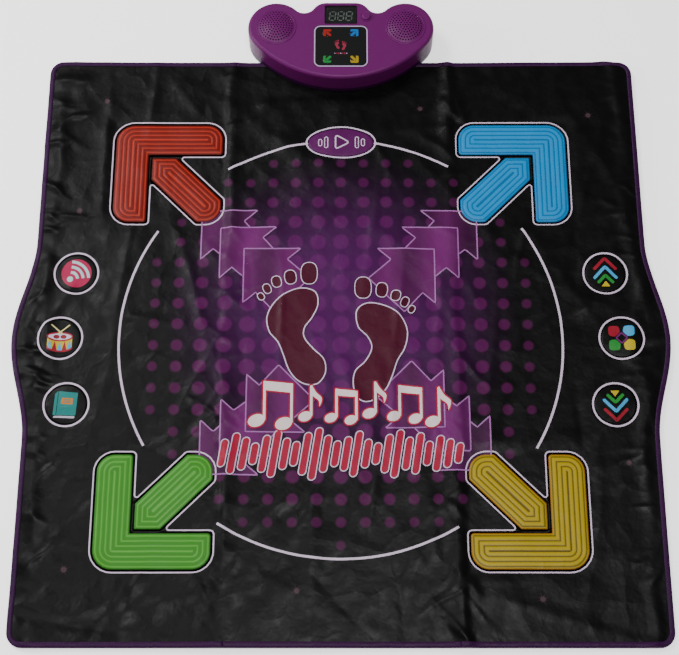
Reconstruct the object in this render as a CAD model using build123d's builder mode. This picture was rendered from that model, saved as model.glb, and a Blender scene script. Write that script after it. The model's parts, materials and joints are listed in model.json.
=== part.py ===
import os
from math import sqrt

from build123d import *

# A dance rhythm mat: a square floor mat of printed fabric over a foam switch sandwich, with a small
# battery console clamped over the middle of its back edge. Millimetres, +X right, +Y towards the
# console, +Z up. The origin is on the floor under the middle of the whole object's bounding box.

# Mat outline
mat_width = 888.0
mat_depth = 886.0
mat_corner = 21.0
bulge_height = 26.0
bulge_length = 300.0
bulge_y = -8.0
fold_x = 168.0
fold_gap = 0.2

# Mat layers, from the floor up
backing_thickness = 1.2
film_thickness = 0.3
foam_thickness = 3.5
cover_thickness = 0.8
tape_thickness = 0.7
tape_width = 8.0
layer_gap = 0.1

# Touch pads
pad_thickness = 3.0
pad_rise = 1.5
pad_gap = 0.5
arrow_spread_x = 256.5
arrow_spread_y = 256.5
arrow_middle_y = -2.5
arrow_size = 160.0
arrow_bar = 49.5
arrow_shaft = 50.5
arrow_gap = 5.5
arrow_corner = 27.0
arrow_end = 24.0
arrow_nose = 4.5
icon_radius = 29.0
icon_places = ((383.0, 92.0), (400.0, -8.0), (385.0, -107.0))
start_from_back = 139.0
start_half_width = 49.0
start_half_depth = 23.0

# Console outline
console_overlap = 51.0
console_overhang = 81.0
lobe_x = 98.0
lobe_radius = 43.0
lobe_from_back = 44.0
bump_half_width = 22.0
saddle_x = 56.0
saddle_from_back = 18.0

# Console heights and walls
foot_height = 1.5
base_floor = 3.0
shelf_gap = 0.5
shelf_thickness = 2.2
split_height = 16.0
shell_top = 49.0
shell_wall = 2.2
top_wall = 2.4
top_round = 5.0
lip_height = 2.5
lip_wall = 1.4
fit_gap = 0.2

# What the console carries
grille_radius = 30.5
grille_ring = 3.5
grille_rise = 5.5
grille_middle_share = 0.667
grille_skin = 1.2
grille_hole = 1.1
grille_pitch = 4.0
speaker_depth = 21.0
window_width = 49.0
window_depth = 32.0
window_from_back = 23.0
overlay_width = 82.0
overlay_depth = 72.0
overlay_from_front = 54.0
overlay_thickness = 0.6
overlay_corner = 9.0
lamp_radius = 7.0
lamp_spread_x = 20.5
lamp_spread_y = 23.0
button_x = 38.6
button_from_back = 26.0
button_radius = 7.2
button_rise = 3.2
button_round = 2.8
board_bottom = 25.6
board_thickness = 1.6
board_width = 92.0
board_depth = 88.0
cell_radius = 7.25
cell_length = 50.5
cell_spacing = 1.0
cells_from_back = 41.0
cover_half_width = 33.0
tongue = 1.5
clamp_from_edge = 16.0
clamp_width = 146.0
screw_radius = 1.5
screw_head = 3.0
boss_radius = 3.4

# Places that follow from the sizes above
mat_y = -console_overhang / 2
mat_back = mat_y + mat_depth / 2
console_back = mat_back + console_overhang
console_front = mat_back - console_overlap
lobe_y = console_back - lobe_from_back
overlay_y = console_front + overlay_from_front
window_y = console_back - window_from_back
button_y = console_back - button_from_back
cells_y = console_back - cells_from_back
start_y = mat_depth / 2 - start_from_back
cell_pitch = 2 * cell_radius + cell_spacing

lower_film_z = backing_thickness
foam_z = lower_film_z + film_thickness
upper_film_z = foam_z + foam_thickness
cover_z = upper_film_z + film_thickness
cover_top = cover_z + cover_thickness
tape_top = cover_top + layer_gap + tape_thickness
layer_inset = tape_thickness + layer_gap
pad_z = cover_top + pad_rise - pad_thickness
shelf_z = tape_top + shelf_gap
base_top = foot_height + base_floor
top_inside = shell_top - top_wall
board_top = board_bottom + board_thickness

panels = {
    "left": (-mat_width, -fold_x - fold_gap / 2),
    "centre": (-fold_x + fold_gap / 2, fold_x - fold_gap / 2),
    "right": (fold_x + fold_gap / 2, mat_width),
}


def save(piece, name):
    # labels a finished piece and writes it
    piece.label = name
    export_step(piece, f"parts/{name}.step")


def inset_shape(shape, inset):
    # a flat shape moved inwards, or outwards when inset is negative
    with BuildSketch() as moved:
        add(shape)
        if inset:
            offset(amount=-inset)
    return moved.sketch


def plate(shape, bottom, thickness):
    # a flat shape made solid from bottom upwards
    with BuildPart() as solid:
        with BuildSketch(Plane.XY.offset(bottom)):
            add(shape)
        extrude(amount=thickness)
    return solid.part


def disc(radius, x=0.0, y=0.0):
    # a round flat shape
    with BuildSketch() as round_shape:
        with Locations((x, y)):
            Circle(radius)
    return round_shape.sketch


def block(width, depth, x=0.0, y=0.0, corner=0.0):
    # a rectangular flat shape, with round corners if corner is given
    with BuildSketch() as flat:
        with Locations((x, y)):
            if corner:
                RectangleRounded(width, depth, corner)
            else:
                Rectangle(width, depth)
    return flat.sketch


def merged(shapes, keep=None):
    # several flat shapes as one, cut to the shape keep if it is given
    with BuildSketch() as whole:
        for shape in shapes:
            add(shape)
        if keep is not None:
            add(keep, mode=Mode.INTERSECT)
    return whole.sketch


def mat_outline():
    # a square with round corners whose two sides swell out in a smooth bulge of four tangent arcs
    half, back, front = mat_width / 2, mat_back, mat_back - mat_depth
    middle = mat_y + bulge_y
    quarter = bulge_length / 4
    with BuildSketch() as outline:
        with BuildLine():
            start = (half, middle - 2 * quarter)
            turn = (half + bulge_height / 2, middle - quarter)
            peak = (half + bulge_height, middle)
            back_turn = (half + bulge_height / 2, middle + quarter)
            end = (half, middle + 2 * quarter)
            rise = TangentArc(start, turn, tangent=(0, 1))
            TangentArc(turn, peak, tangent=rise % 1)
            fall = TangentArc(peak, back_turn, tangent=(0, 1))
            TangentArc(back_turn, end, tangent=fall % 1)
            back_side = Line(end, (half, back - mat_corner))
            back_arc = TangentArc(back_side @ 1, (half - mat_corner, back), tangent=(0, 1))
            Line(back_arc @ 1, (0, back))
            front_side = Line(start, (half, front + mat_corner))
            front_arc = TangentArc(front_side @ 1, (half - mat_corner, front), tangent=(0, -1))
            Line(front_arc @ 1, (0, front))
            mirror(about=Plane.YZ)
        make_face()
    return outline.sketch


def console_outline():
    # two speaker lobes joined by one long front arc and a flat-backed bump between two saddles
    saddle_y = console_back - saddle_from_back
    saddle_radius = (
        (lobe_x - saddle_x) ** 2 + (saddle_y - lobe_y) ** 2 - lobe_radius**2
    ) / (2 * (lobe_radius - saddle_y + lobe_y))
    run = saddle_x - bump_half_width
    shoulder_radius = (run**2 + saddle_from_back**2) / (2 * saddle_from_back) - saddle_radius
    rise = lobe_y - console_front
    front_radius = (lobe_x**2 + rise**2 - lobe_radius**2) / (2 * (rise - lobe_radius))
    shoulder = Vector(bump_half_width, console_back - shoulder_radius)
    saddle = Vector(saddle_x, saddle_y + saddle_radius)
    lobe = Vector(lobe_x, lobe_y)
    front = Vector(0, console_front + front_radius)
    onto_saddle = shoulder + (saddle - shoulder).normalized() * shoulder_radius
    onto_lobe = lobe + (saddle - lobe).normalized() * lobe_radius
    onto_front = front + (lobe - front).normalized() * front_radius
    with BuildSketch() as outline:
        with BuildLine():
            flat = Line((0, console_back), (bump_half_width, console_back))
            bump = TangentArc(flat @ 1, onto_saddle, tangent=(1, 0))
            dip = TangentArc(bump @ 1, onto_lobe, tangent=bump % 1)
            side = TangentArc(dip @ 1, onto_front, tangent=dip % 1)
            TangentArc(side @ 1, (0, console_front), tangent=side % 1)
            mirror(about=Plane.YZ)
        make_face()
    return outline.sketch


def arrow_head(turn):
    # an L of two bars, drawn for an arrow that points to -X and +Y and then turned
    half = arrow_size / 2
    inner = half - arrow_bar
    with BuildSketch() as head:
        with BuildLine():
            FilletPolyline(
                (-half, -half),
                (-half, half),
                (half, half),
                (half, inner),
                (-inner, inner),
                (-inner, -half),
                radius=(arrow_end, arrow_corner, arrow_end, arrow_nose, 1.0, arrow_nose),
                close=True,
            )
        make_face()
    return placed_arrow(head.sketch, turn)


def arrow_tail(turn):
    # the diagonal shaft: square to the head where they meet, cut by the arrow's square at its far end
    half = arrow_size / 2
    tip = half - arrow_bar - arrow_gap
    side = arrow_shaft / sqrt(2)
    with BuildSketch() as tail:
        with BuildLine():
            FilletPolyline(
                (-tip, tip),
                (-tip + side, tip),
                (half, side - half),
                (half, -half),
                (half - side, -half),
                (-tip, tip - side),
                radius=(1.0, 3.0, 3.0, arrow_end, 3.0, 3.0),
                close=True,
            )
        make_face()
    return placed_arrow(tail.sketch, turn)


def placed_arrow(shape, turn):
    # turns 0, 90, 180 and 270 degrees clockwise put the arrow at back left, back right, front right, front left
    x = -arrow_spread_x if turn in (0, 270) else arrow_spread_x
    y = arrow_spread_y if turn in (0, 90) else -arrow_spread_y
    return Location((x, mat_y + arrow_middle_y + y), -turn) * shape


def icon_disc(side, place):
    # one round touch pad near a side edge
    return disc(icon_radius, side * place[0], mat_y + place[1])


def start_oval(margin):
    # the start pad's shape, with a margin all round
    with BuildSketch() as oval:
        with Locations((0, mat_y + start_y)):
            Ellipse(start_half_width + margin, start_half_depth + margin)
    return oval.sketch


mat_shape = mat_outline()
console_shape = console_outline()
arrows = {
    "red": ("left", 0),
    "blue": ("right", 90),
    "yellow": ("right", 180),
    "green": ("left", 270),
}
heads = {colour: arrow_head(turn) for colour, (_, turn) in arrows.items()}
tails = {colour: arrow_tail(turn) for colour, (_, turn) in arrows.items()}
icons = {
    f"{panel}_{row}": icon_disc(side, place)
    for panel, side in (("left", -1), ("right", 1))
    for row, place in zip(("back", "middle", "front"), icon_places)
}
wells = {"left": [], "centre": [start_oval(pad_gap)], "right": []}
for colour, (panel, turn) in arrows.items():
    wells[panel] += [inset_shape(heads[colour], -pad_gap), inset_shape(tails[colour], -pad_gap)]
for name, shape in icons.items():
    wells[name.split("_")[0]].append(inset_shape(shape, -pad_gap))

clamp_places = [(x, mat_back - clamp_from_edge) for x in (-64.0, -42.0, 42.0, 64.0)]
rear_places = [(x, console_back - 24.0) for x in (-saddle_x, saddle_x)]
clamp_depth = 10.0
clamp_plan = block(clamp_width, clamp_depth, 0, clamp_places[0][1], 4.0)
tail_plan = block(24.0, 2.4, 0, mat_back - 10.0)
screw_holes = [disc(screw_radius + fit_gap, x, y) for x, y in clamp_places]
centre_holes = [*screw_holes, inset_shape(tail_plan, -fit_gap)]
clamp_well = inset_shape(clamp_plan, -fit_gap)


def panel_layer(panel, bottom, thickness, inset, holes):
    # one sheet of one panel, with its holes cut through
    low, high = panels[panel]
    shape = inset_shape(mat_shape, inset)
    with BuildPart() as sheet:
        with BuildSketch(Plane.XY.offset(bottom)):
            add(shape)
            with Locations(((low + high) / 2, mat_y)):
                Rectangle(high - low, 2 * mat_depth, mode=Mode.INTERSECT)
            for hole in holes:
                add(hole, mode=Mode.SUBTRACT)
        extrude(amount=thickness)
    return sheet.part


def mat_panel(panel):
    # the six pieces of one panel: backing, two films, foam spacer, cover and binding tape
    holes = centre_holes if panel == "centre" else []
    under = [*holes, clamp_well] if holes else []
    rim = layer_inset + tape_width
    backing = panel_layer(panel, 0, backing_thickness, rim, under)
    thin = panel_layer(panel, layer_inset, backing_thickness - layer_inset, layer_inset, under)
    with BuildPart() as backing_sheet:
        add(backing)
        add(thin)
    save(backing_sheet.part, f"{panel}_backing")
    lower = panel_layer(panel, lower_film_z, film_thickness, layer_inset, holes)
    save(lower, f"{panel}_lower_film")
    foam = panel_layer(panel, foam_z, foam_thickness, layer_inset, [*holes, *wells[panel]])
    save(foam, f"{panel}_foam_spacer")
    upper = panel_layer(panel, upper_film_z, film_thickness, layer_inset, [*holes, *wells[panel]])
    save(upper, f"{panel}_upper_film")
    cover = panel_layer(panel, cover_z, cover_thickness, layer_inset, [*holes, *wells[panel]])
    save(cover, f"{panel}_cover")
    flange = [inset_shape(mat_shape, tape_width)]
    edge = [inset_shape(mat_shape, tape_thickness)]
    with BuildPart() as tape:
        add(panel_layer(panel, 0, tape_thickness, 0, flange))
        add(panel_layer(panel, 0, tape_top, 0, edge))
        add(panel_layer(panel, tape_top - tape_thickness, tape_thickness, 0, flange))
    save(tape.part, f"{panel}_binding")


def touch_pads():
    # the raised pads, each filling its well through the cover with a gap all round
    for colour in arrows:
        save(plate(heads[colour], pad_z, pad_thickness), f"{colour}_arrow_head")
        save(plate(tails[colour], pad_z, pad_thickness), f"{colour}_arrow_shaft")
    for name, shape in icons.items():
        save(plate(shape, pad_z, pad_thickness), f"{name}_icon_pad")
    save(plate(start_oval(0), pad_z, pad_thickness), "start_pad")


def clamp_and_tail():
    # the steel strip under the mat's back edge and the flat tail of the switch films
    with BuildPart() as clamp:
        add(plate(clamp_plan, layer_gap, backing_thickness - layer_gap))
        for hole in [*screw_holes, inset_shape(tail_plan, -fit_gap)]:
            add(plate(hole, 0, backing_thickness), mode=Mode.SUBTRACT)
    save(clamp.part, "clamp_plate")
    save(plate(tail_plan, foam_z, board_bottom - foam_z), "film_tail")


inner_shape = inset_shape(console_shape, shell_wall)
lip_shape = inset_shape(console_shape, shell_wall + fit_gap)
lip_inside = inset_shape(console_shape, shell_wall + fit_gap + lip_wall)
behind_mat = block(400.0, 200.0, 0, mat_back + layer_gap * 5 + 100.0)
over_mat = block(400.0, 200.0, 0, mat_back + layer_gap * 5 - 100.0)
grilles = {"left": -lobe_x, "right": lobe_x}
feet = [(side * x, y) for side in (-1, 1) for x, y in ((98.0, lobe_y + 29.0), (112.0, lobe_y - 20.0))]
foot_radius = 6.0
foot_sink = 0.8
window_seat = 1.6
window_lens = 1.0
overlay_top = shell_top - 0.1
cover_plan = merged([block(2 * cover_half_width, 76.0, 0, console_back - 38.0)], console_shape)
tongue_plan = merged([block(2 * (cover_half_width + tongue), 76.0, 0, console_back - 38.0)], console_shape)
bay_width = cell_length + 14.0
bay_depth = 3 * cell_pitch + 2.0
bay_wall = 1.5
bay_top = foot_height + 20.0


def top_shell():
    # the upper case: rounded top edge, open below, with seats for all that shows on it
    with BuildPart() as hollow:
        with BuildSketch(Plane.XY.offset(split_height)):
            add(inner_shape)
        extrude(amount=top_inside - split_height)
        fillet(hollow.edges().group_by(Axis.Z)[-1], radius=top_round - shell_wall)
    with BuildPart() as shell:
        with BuildSketch(Plane.XY.offset(split_height)):
            add(console_shape)
        extrude(amount=shell_top - split_height)
        fillet(shell.edges().group_by(Axis.Z)[-1], radius=top_round)
        add(hollow.part, mode=Mode.SUBTRACT)
        for x, y in [*clamp_places, *rear_places]:
            add(plate(disc(boss_radius, x, y), split_height, top_inside - split_height))
            add(plate(disc(screw_radius + 0.05, x, y), split_height, 12.0), mode=Mode.SUBTRACT)
        for x in grilles.values():
            add(plate(disc(grille_radius + fit_gap, x, lobe_y), shell_top - 1.2, 2.0), mode=Mode.SUBTRACT)
            add(plate(disc(grille_radius - grille_ring, x, lobe_y), top_inside - 1, 5.0), mode=Mode.SUBTRACT)
        seat = block(window_width + 2 * fit_gap, window_depth + 2 * fit_gap, 0, window_y, 2.0)
        add(plate(seat, shell_top - window_seat, 3.0), mode=Mode.SUBTRACT)
        opening = block(window_width - 4.0, window_depth - 4.0, 0, window_y)
        add(plate(opening, top_inside - 1, 5.0), mode=Mode.SUBTRACT)
        recess = inset_shape(overlay_shape, -fit_gap)
        add(plate(recess, overlay_top - overlay_thickness, 3.0), mode=Mode.SUBTRACT)
        for x, y in lamp_places:
            add(plate(disc(lamp_radius + fit_gap, x, y), top_inside - 1, 5.0), mode=Mode.SUBTRACT)
        add(plate(disc(button_radius + 2.0, button_x, button_y), top_inside, top_wall + 0.8))
        add(plate(disc(button_radius + 0.3, button_x, button_y), top_inside - 1, 6.0), mode=Mode.SUBTRACT)
        for x, y in standoffs:
            add(plate(disc(2.5, x, y), board_top, top_inside - board_top))
    save(shell.part, "top_shell")


def lip():
    # the ring inside the wall that rises into the top shell and lines the two up
    root = lip_height
    with BuildPart() as ring:
        add(plate(inner_shape, split_height - root, root))
        add(plate(lip_shape, split_height, lip_height))
        add(plate(lip_inside, split_height - 2 * root, 4 * root), mode=Mode.SUBTRACT)
    return ring.part


def base_shell():
    # the lower case: a floor behind the mat, a raised shelf over the mat's edge, and a battery bay
    with BuildPart() as shell:
        add(plate(merged([console_shape], behind_mat), foot_height, base_floor))
        add(plate(merged([console_shape], over_mat), shelf_z, shelf_thickness))
        walls = split_height - shelf_z
        add(plate(console_shape, shelf_z, walls))
        add(plate(inner_shape, shelf_z + shelf_thickness, walls), mode=Mode.SUBTRACT)
        low_wall = merged([console_shape], behind_mat)
        add(plate(low_wall, foot_height, shelf_z - foot_height + 1.0))
        inside = merged([inset_shape(low_wall, shell_wall)])
        add(plate(inside, base_top, 30.0), mode=Mode.SUBTRACT)
        add(lip())
        for x, y in [*clamp_places, *rear_places]:
            add(plate(disc(boss_radius + 1.0, x, y), split_height, 9.0), mode=Mode.SUBTRACT)
        for x, y in clamp_places:
            add(plate(disc(boss_radius, x, y), shelf_z, split_height - shelf_z))
            add(plate(disc(screw_radius + fit_gap, x, y), shelf_z - 1, 20.0), mode=Mode.SUBTRACT)
        for x, y in rear_places:
            add(plate(disc(boss_radius, x, y), foot_height, split_height - foot_height))
            add(plate(disc(screw_radius + fit_gap, x, y), 0, 20.0), mode=Mode.SUBTRACT)
            add(plate(disc(screw_head + fit_gap, x, y), 0, foot_height + 2.0), mode=Mode.SUBTRACT)
        bay = block(bay_width + 2 * bay_wall, bay_depth + 2 * bay_wall, 0, cells_y)
        add(plate(bay, foot_height, bay_top - foot_height))
        add(plate(block(bay_width, bay_depth, 0, cells_y), base_top, bay_top), mode=Mode.SUBTRACT)
        add(plate(block(bay_width - 10.0, bay_depth - 2.0, 0, cells_y), 0, base_top + 1), mode=Mode.SUBTRACT)
        add(plate(inset_shape(tail_plan, -fit_gap), 0, split_height), mode=Mode.SUBTRACT)
        slot = inset_shape(cover_plan, -fit_gap)
        add(plate(slot, 0, foot_height + 1.5 + fit_gap), mode=Mode.SUBTRACT)
        groove = inset_shape(tongue_plan, -fit_gap)
        add(plate(groove, foot_height + 0.8 - fit_gap, 0.7 + 2 * fit_gap), mode=Mode.SUBTRACT)
        for x, y in feet:
            add(plate(disc(foot_radius + 0.1, x, y), 0, foot_height + foot_sink), mode=Mode.SUBTRACT)
    save(shell.part, "base_shell")


def speaker(side, x):
    # a perforated domed grille over a basket with its magnet, and the paper cone between them
    dome = grille_radius - grille_ring + 0.5
    place = Location((x, lobe_y))
    rings = int((dome - 2.5) // grille_pitch)
    with BuildPart() as grille:
        with BuildSketch(Plane.XZ):
            with BuildLine():
                base = shell_top - 1.1
                rim = shell_top + 0.7
                Polyline((dome, base), (grille_radius, base), (grille_radius, rim - 0.4))
                Line((grille_radius, rim - 0.4), (grille_radius - 0.8, rim))
                Line((grille_radius - 0.8, rim), (dome + 0.4, rim))
                Line((dome + 0.4, rim), (dome, rim - 0.4))
                ThreePointArc(
                    (dome, rim - 0.4),
                    (dome * 0.6, shell_top + grille_rise * grille_middle_share),
                    (0, shell_top + grille_rise),
                )
                Line((0, shell_top + grille_rise), (0, shell_top + grille_rise - grille_skin))
                ThreePointArc(
                    (0, shell_top + grille_rise - grille_skin),
                    (dome * 0.6, shell_top + grille_rise * grille_middle_share - grille_skin),
                    (dome, rim - 0.4 - grille_skin),
                )
                Line((dome, rim - 0.4 - grille_skin), (dome, base))
            make_face()
        revolve(axis=Axis.Z)
        with BuildSketch(Plane.XY.offset(shell_top - 3.0)):
            Circle(grille_hole)
            for ring in range(1, rings + 1):
                with PolarLocations(ring * grille_pitch, 6 * ring):
                    Circle(grille_hole)
        extrude(amount=10.0, mode=Mode.SUBTRACT)
    save(place * grille.part, f"{side}_speaker_grille")
    top = top_inside - 0.2
    bottom = top - speaker_depth
    with BuildPart() as frame:
        with BuildSketch(Plane.XZ):
            with BuildLine():
                Polyline(
                    (0, bottom),
                    (15.0, bottom),
                    (15.0, bottom + 9.0),
                    (25.5, top - 2.4),
                    (29.0, top - 1.4),
                    (29.0, top),
                    (26.0, top),
                    (26.0, top - 1.0),
                    (24.5, top - 1.6),
                    (11.0, bottom + 10.5),
                    (0, bottom + 10.5),
                    close=True,
                )
            make_face()
        revolve(axis=Axis.Z)
    save(place * frame.part, f"{side}_speaker_frame")
    with BuildPart() as cone:
        with BuildSketch(Plane.XZ):
            with BuildLine():
                Polyline(
                    (0, bottom + 13.0),
                    (9.0, bottom + 11.5),
                    (23.0, top - 1.1),
                    (25.6, top - 0.9),
                    (25.6, top - 0.4),
                    (23.0, top - 0.4),
                    (9.0, bottom + 12.4),
                    (0, bottom + 13.8),
                    close=True,
                )
            make_face()
        revolve(axis=Axis.Z)
    save(place * cone.part, f"{side}_speaker_cone")


def control_face():
    # what shows on the console's top between the speakers, and the board under it
    with BuildPart() as overlay:
        add(plate(overlay_shape, overlay_top - overlay_thickness, overlay_thickness))
        for x, y in lamp_places:
            add(plate(disc(lamp_radius + fit_gap, x, y), shell_top - 3, 5.0), mode=Mode.SUBTRACT)
    save(overlay.part, "control_overlay")
    for colour, (x, y) in zip(("red", "blue", "green", "yellow"), lamp_places):
        with BuildPart() as lens:
            add(plate(disc(lamp_radius, x, y), top_inside - 0.4, shell_top + 0.7 - top_inside))
            fillet(lens.edges().group_by(Axis.Z)[-1], radius=0.3)
            add(plate(disc(lamp_radius + 1.0, x, y), top_inside - 1.8, 1.8))
        save(lens.part, f"{colour}_indicator")
    lens_plan = block(window_width, window_depth, 0, window_y, 1.8)
    save(plate(lens_plan, shell_top - window_seat, window_lens), "display_window")
    glass = block(window_width + 1.0, window_depth - 4.0, 0, window_y - 1.0)
    save(plate(glass, top_inside - 3.6, 3.2), "display_module")
    with BuildPart() as button:
        add(plate(disc(button_radius, button_x, button_y), top_inside - 0.4, top_wall + 0.4 + button_rise))
        fillet(button.edges().group_by(Axis.Z)[-1], radius=button_round)
        add(plate(disc(button_radius + 1.5, button_x, button_y), top_inside - 2.0, 1.8))
        stem_top = top_inside - 2.0
        stem_bottom = board_top + 6.0
        add(plate(disc(2.0, button_x, button_y), stem_bottom, stem_top - stem_bottom))
    save(button.part, "power_button")
    board = block(board_width, board_depth, 0, board_y, 3.0)
    with BuildPart() as circuit:
        add(plate(board, board_bottom, board_thickness))
        for x, y in [*clamp_places, *rear_places]:
            add(plate(disc(boss_radius + 0.8, x, y), board_bottom - 1, 5.0), mode=Mode.SUBTRACT)
    save(circuit.part, "main_board")
    with BuildPart() as fitted:
        for x, y in lamp_places:
            add(plate(disc(2.5, x, y), board_top, 7.0))
        add(plate(block(14.0, 14.0, -4, board_y), board_top, 2.0))
        add(plate(block(6.0, 6.0, button_x, button_y), board_top, 3.5))
        add(plate(disc(1.7, button_x, button_y), board_top + 3.5, 0.9))
        add(plate(block(30.0, 3.0, 0, window_y - 12.0), board_top, top_inside - 3.6 - board_top))
    save(fitted.part, "board_components")


def batteries():
    # three cells side by side along X, their contacts, and the cover that slides out to the back
    cells_z = base_top + 1.2 + cell_radius
    with BuildPart() as cells:
        with Locations([(0, cells_y + row * cell_pitch, cells_z) for row in (-1, 0, 1)]):
            Cylinder(cell_radius, cell_length, rotation=(0, 90, 0))
    save(cells.part, "battery_cells")
    with BuildPart() as contacts:
        for side in (-1, 1):
            x = side * (bay_width / 2 - 0.3)
            add(plate(block(0.6, bay_depth - 2.0, x, cells_y), base_top + 1.0, 14.0))
            spring = (bay_width - cell_length) / 2 - 0.6
            with Locations([(side * (cell_length + spring) / 2, cells_y + row * cell_pitch, cells_z)
                            for row in (-1, 0, 1)]):
                Cylinder(2.5, spring, rotation=(0, 90, 0))
    save(contacts.part, "battery_contacts")
    with BuildPart() as cover:
        add(plate(cover_plan, foot_height, 1.5))
        add(plate(tongue_plan, foot_height + 0.8, 0.7))
    save(cover.part, "battery_cover")


def fasteners():
    # long screws up through the clamp plate and short ones behind, and four rubber feet
    with BuildPart() as screws:
        for x, y in clamp_places:
            add(plate(disc(screw_radius, x, y), layer_gap, split_height + 9.0))
        for x, y in rear_places:
            add(plate(disc(screw_head, x, y), foot_height + 0.2, 1.8))
            add(plate(disc(screw_radius, x, y), foot_height + 1.0, split_height + 7.0))
    save(screws.part, "screws")
    with BuildPart() as pads:
        for x, y in feet:
            add(plate(disc(foot_radius, x, y), 0, foot_height + foot_sink))
            fillet(pads.edges().group_by(Axis.Z)[0], radius=0.5)
    save(pads.part, "rubber_feet")


board_y = overlay_y + 10.0
lamp_places = [
    (-lamp_spread_x, overlay_y + lamp_spread_y),
    (lamp_spread_x, overlay_y + lamp_spread_y),
    (-lamp_spread_x, overlay_y - lamp_spread_y),
    (lamp_spread_x, overlay_y - lamp_spread_y),
]
standoffs = [(side * 40.0, board_y + y) for side in (-1, 1) for y in (-20.0, 18.0)]
overlay_shape = block(overlay_width, overlay_depth, 0, overlay_y, overlay_corner)

os.makedirs("parts", exist_ok=True)
for panel in panels:
    mat_panel(panel)
touch_pads()
clamp_and_tail()
top_shell()
base_shell()
for side, x in grilles.items():
    speaker(side, x)
control_face()
batteries()
fasteners()
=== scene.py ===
import json
import math
import bpy
import numpy as np
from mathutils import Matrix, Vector
from mathutils.geometry import delaunay_2d_cdt


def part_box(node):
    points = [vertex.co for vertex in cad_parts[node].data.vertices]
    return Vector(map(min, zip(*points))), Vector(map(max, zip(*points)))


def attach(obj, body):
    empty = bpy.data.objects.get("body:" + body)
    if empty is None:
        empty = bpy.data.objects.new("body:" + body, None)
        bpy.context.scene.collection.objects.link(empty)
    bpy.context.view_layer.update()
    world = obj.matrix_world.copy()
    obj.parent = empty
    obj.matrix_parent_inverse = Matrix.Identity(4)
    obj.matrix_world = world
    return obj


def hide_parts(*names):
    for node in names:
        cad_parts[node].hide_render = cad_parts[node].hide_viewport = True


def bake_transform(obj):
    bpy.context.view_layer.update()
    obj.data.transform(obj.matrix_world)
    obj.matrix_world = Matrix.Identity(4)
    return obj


# A printed dance mat with a small console. Flat places are millimetres from the mat's middle,
# +x right and +y towards the console; onMat turns them into the frame's metres.

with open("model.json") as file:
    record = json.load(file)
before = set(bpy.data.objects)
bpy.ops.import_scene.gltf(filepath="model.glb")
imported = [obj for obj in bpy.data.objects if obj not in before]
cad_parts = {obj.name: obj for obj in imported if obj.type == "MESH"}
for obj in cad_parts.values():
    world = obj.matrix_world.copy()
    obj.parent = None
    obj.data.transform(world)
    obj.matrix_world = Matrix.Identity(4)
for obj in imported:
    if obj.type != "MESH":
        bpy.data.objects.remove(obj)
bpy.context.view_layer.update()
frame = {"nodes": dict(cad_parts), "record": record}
mm = 0.001


def edges(node):
    # a node's lowest and highest corners in millimetres
    return [np.array(corner, float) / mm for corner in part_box(node)]


tapeLow, tapeHigh = edges("left_binding")
tape = {"width": 8.0, "stitchIn": 6.1, "stitchPitch": 4.2, "stitchLength": 2.9, "stitchRise": 1.02}
mat = {
    "y": (tapeLow[1] + tapeHigh[1]) / 2,
    "halfDepth": (tapeHigh[1] - tapeLow[1]) / 2,
    "halfWidth": 444.0,
    "corner": 21.0,
    "bulge": -444.0 - tapeLow[0],
    "bulgeLength": 300.0,
    "bulgeY": -8.0,
    "coverTop": edges("centre_cover")[1][2],
    "coverInset": 1.6,
    "wellFloor": 1.9,
    "fold": -tapeHigh[0],
    "foldReach": 10.0,
    "cell": 2.2,
    "seed": 7,
}
# where the centre panel ends and a side panel starts
mat["near"] = mat["fold"] - mat["foldReach"]
backing = {"rows": 90, "columns": 44, "inset": 1.2, "top": 1.1, "bottom": 0.05}
sideNames = {-1: "left", 0: "centre", 1: "right"}
print("frame loaded, mat", round(2 * mat["halfDepth"]), "mm deep")


def smooth(a, b, t):
    # 0 below a, 1 above b, and 3s^2 - 2s^3 between them
    s = np.clip((t - a) / (b - a), 0, 1)
    return s * s * (3 - 2 * s)


def sideOf(y):
    # half the mat's width at y: straight, plus a cosine-squared swelling, less the corner's arc
    along = np.clip(np.abs(y - mat["bulgeY"]) / mat["bulgeLength"], 0, 0.5)
    swell = mat["bulge"] * np.cos(math.pi * along) ** 2
    past = np.clip(np.abs(y) - (mat["halfDepth"] - mat["corner"]), 0, mat["corner"])
    return mat["halfWidth"] + swell - (mat["corner"] - np.sqrt(mat["corner"] ** 2 - past**2))


def outlinePath(step):
    # the mat's edge as one closed path, anticlockwise from the middle of the back
    d, c = mat["halfDepth"], mat["corner"]
    w = mat["halfWidth"] - c
    turn = np.linspace(0, math.pi / 2, 10)[1:-1]
    backX = np.arange(0, w, step)
    sideY = np.arange(d - c, -(d - c), -step)
    left = np.vstack([
        np.column_stack([-backX, np.full(len(backX), d)]),
        np.column_stack([-w - c * np.sin(turn), d - c + c * np.cos(turn)]),
        np.column_stack([-sideOf(sideY), sideY]),
        np.column_stack([-w - c * np.cos(turn), -d + c - c * np.sin(turn)]),
        np.column_stack([-backX[::-1], np.full(len(backX), -d)]),
    ])
    right = left[::-1] * [-1, 1]
    return np.vstack([left, right[1:-1]])


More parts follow.
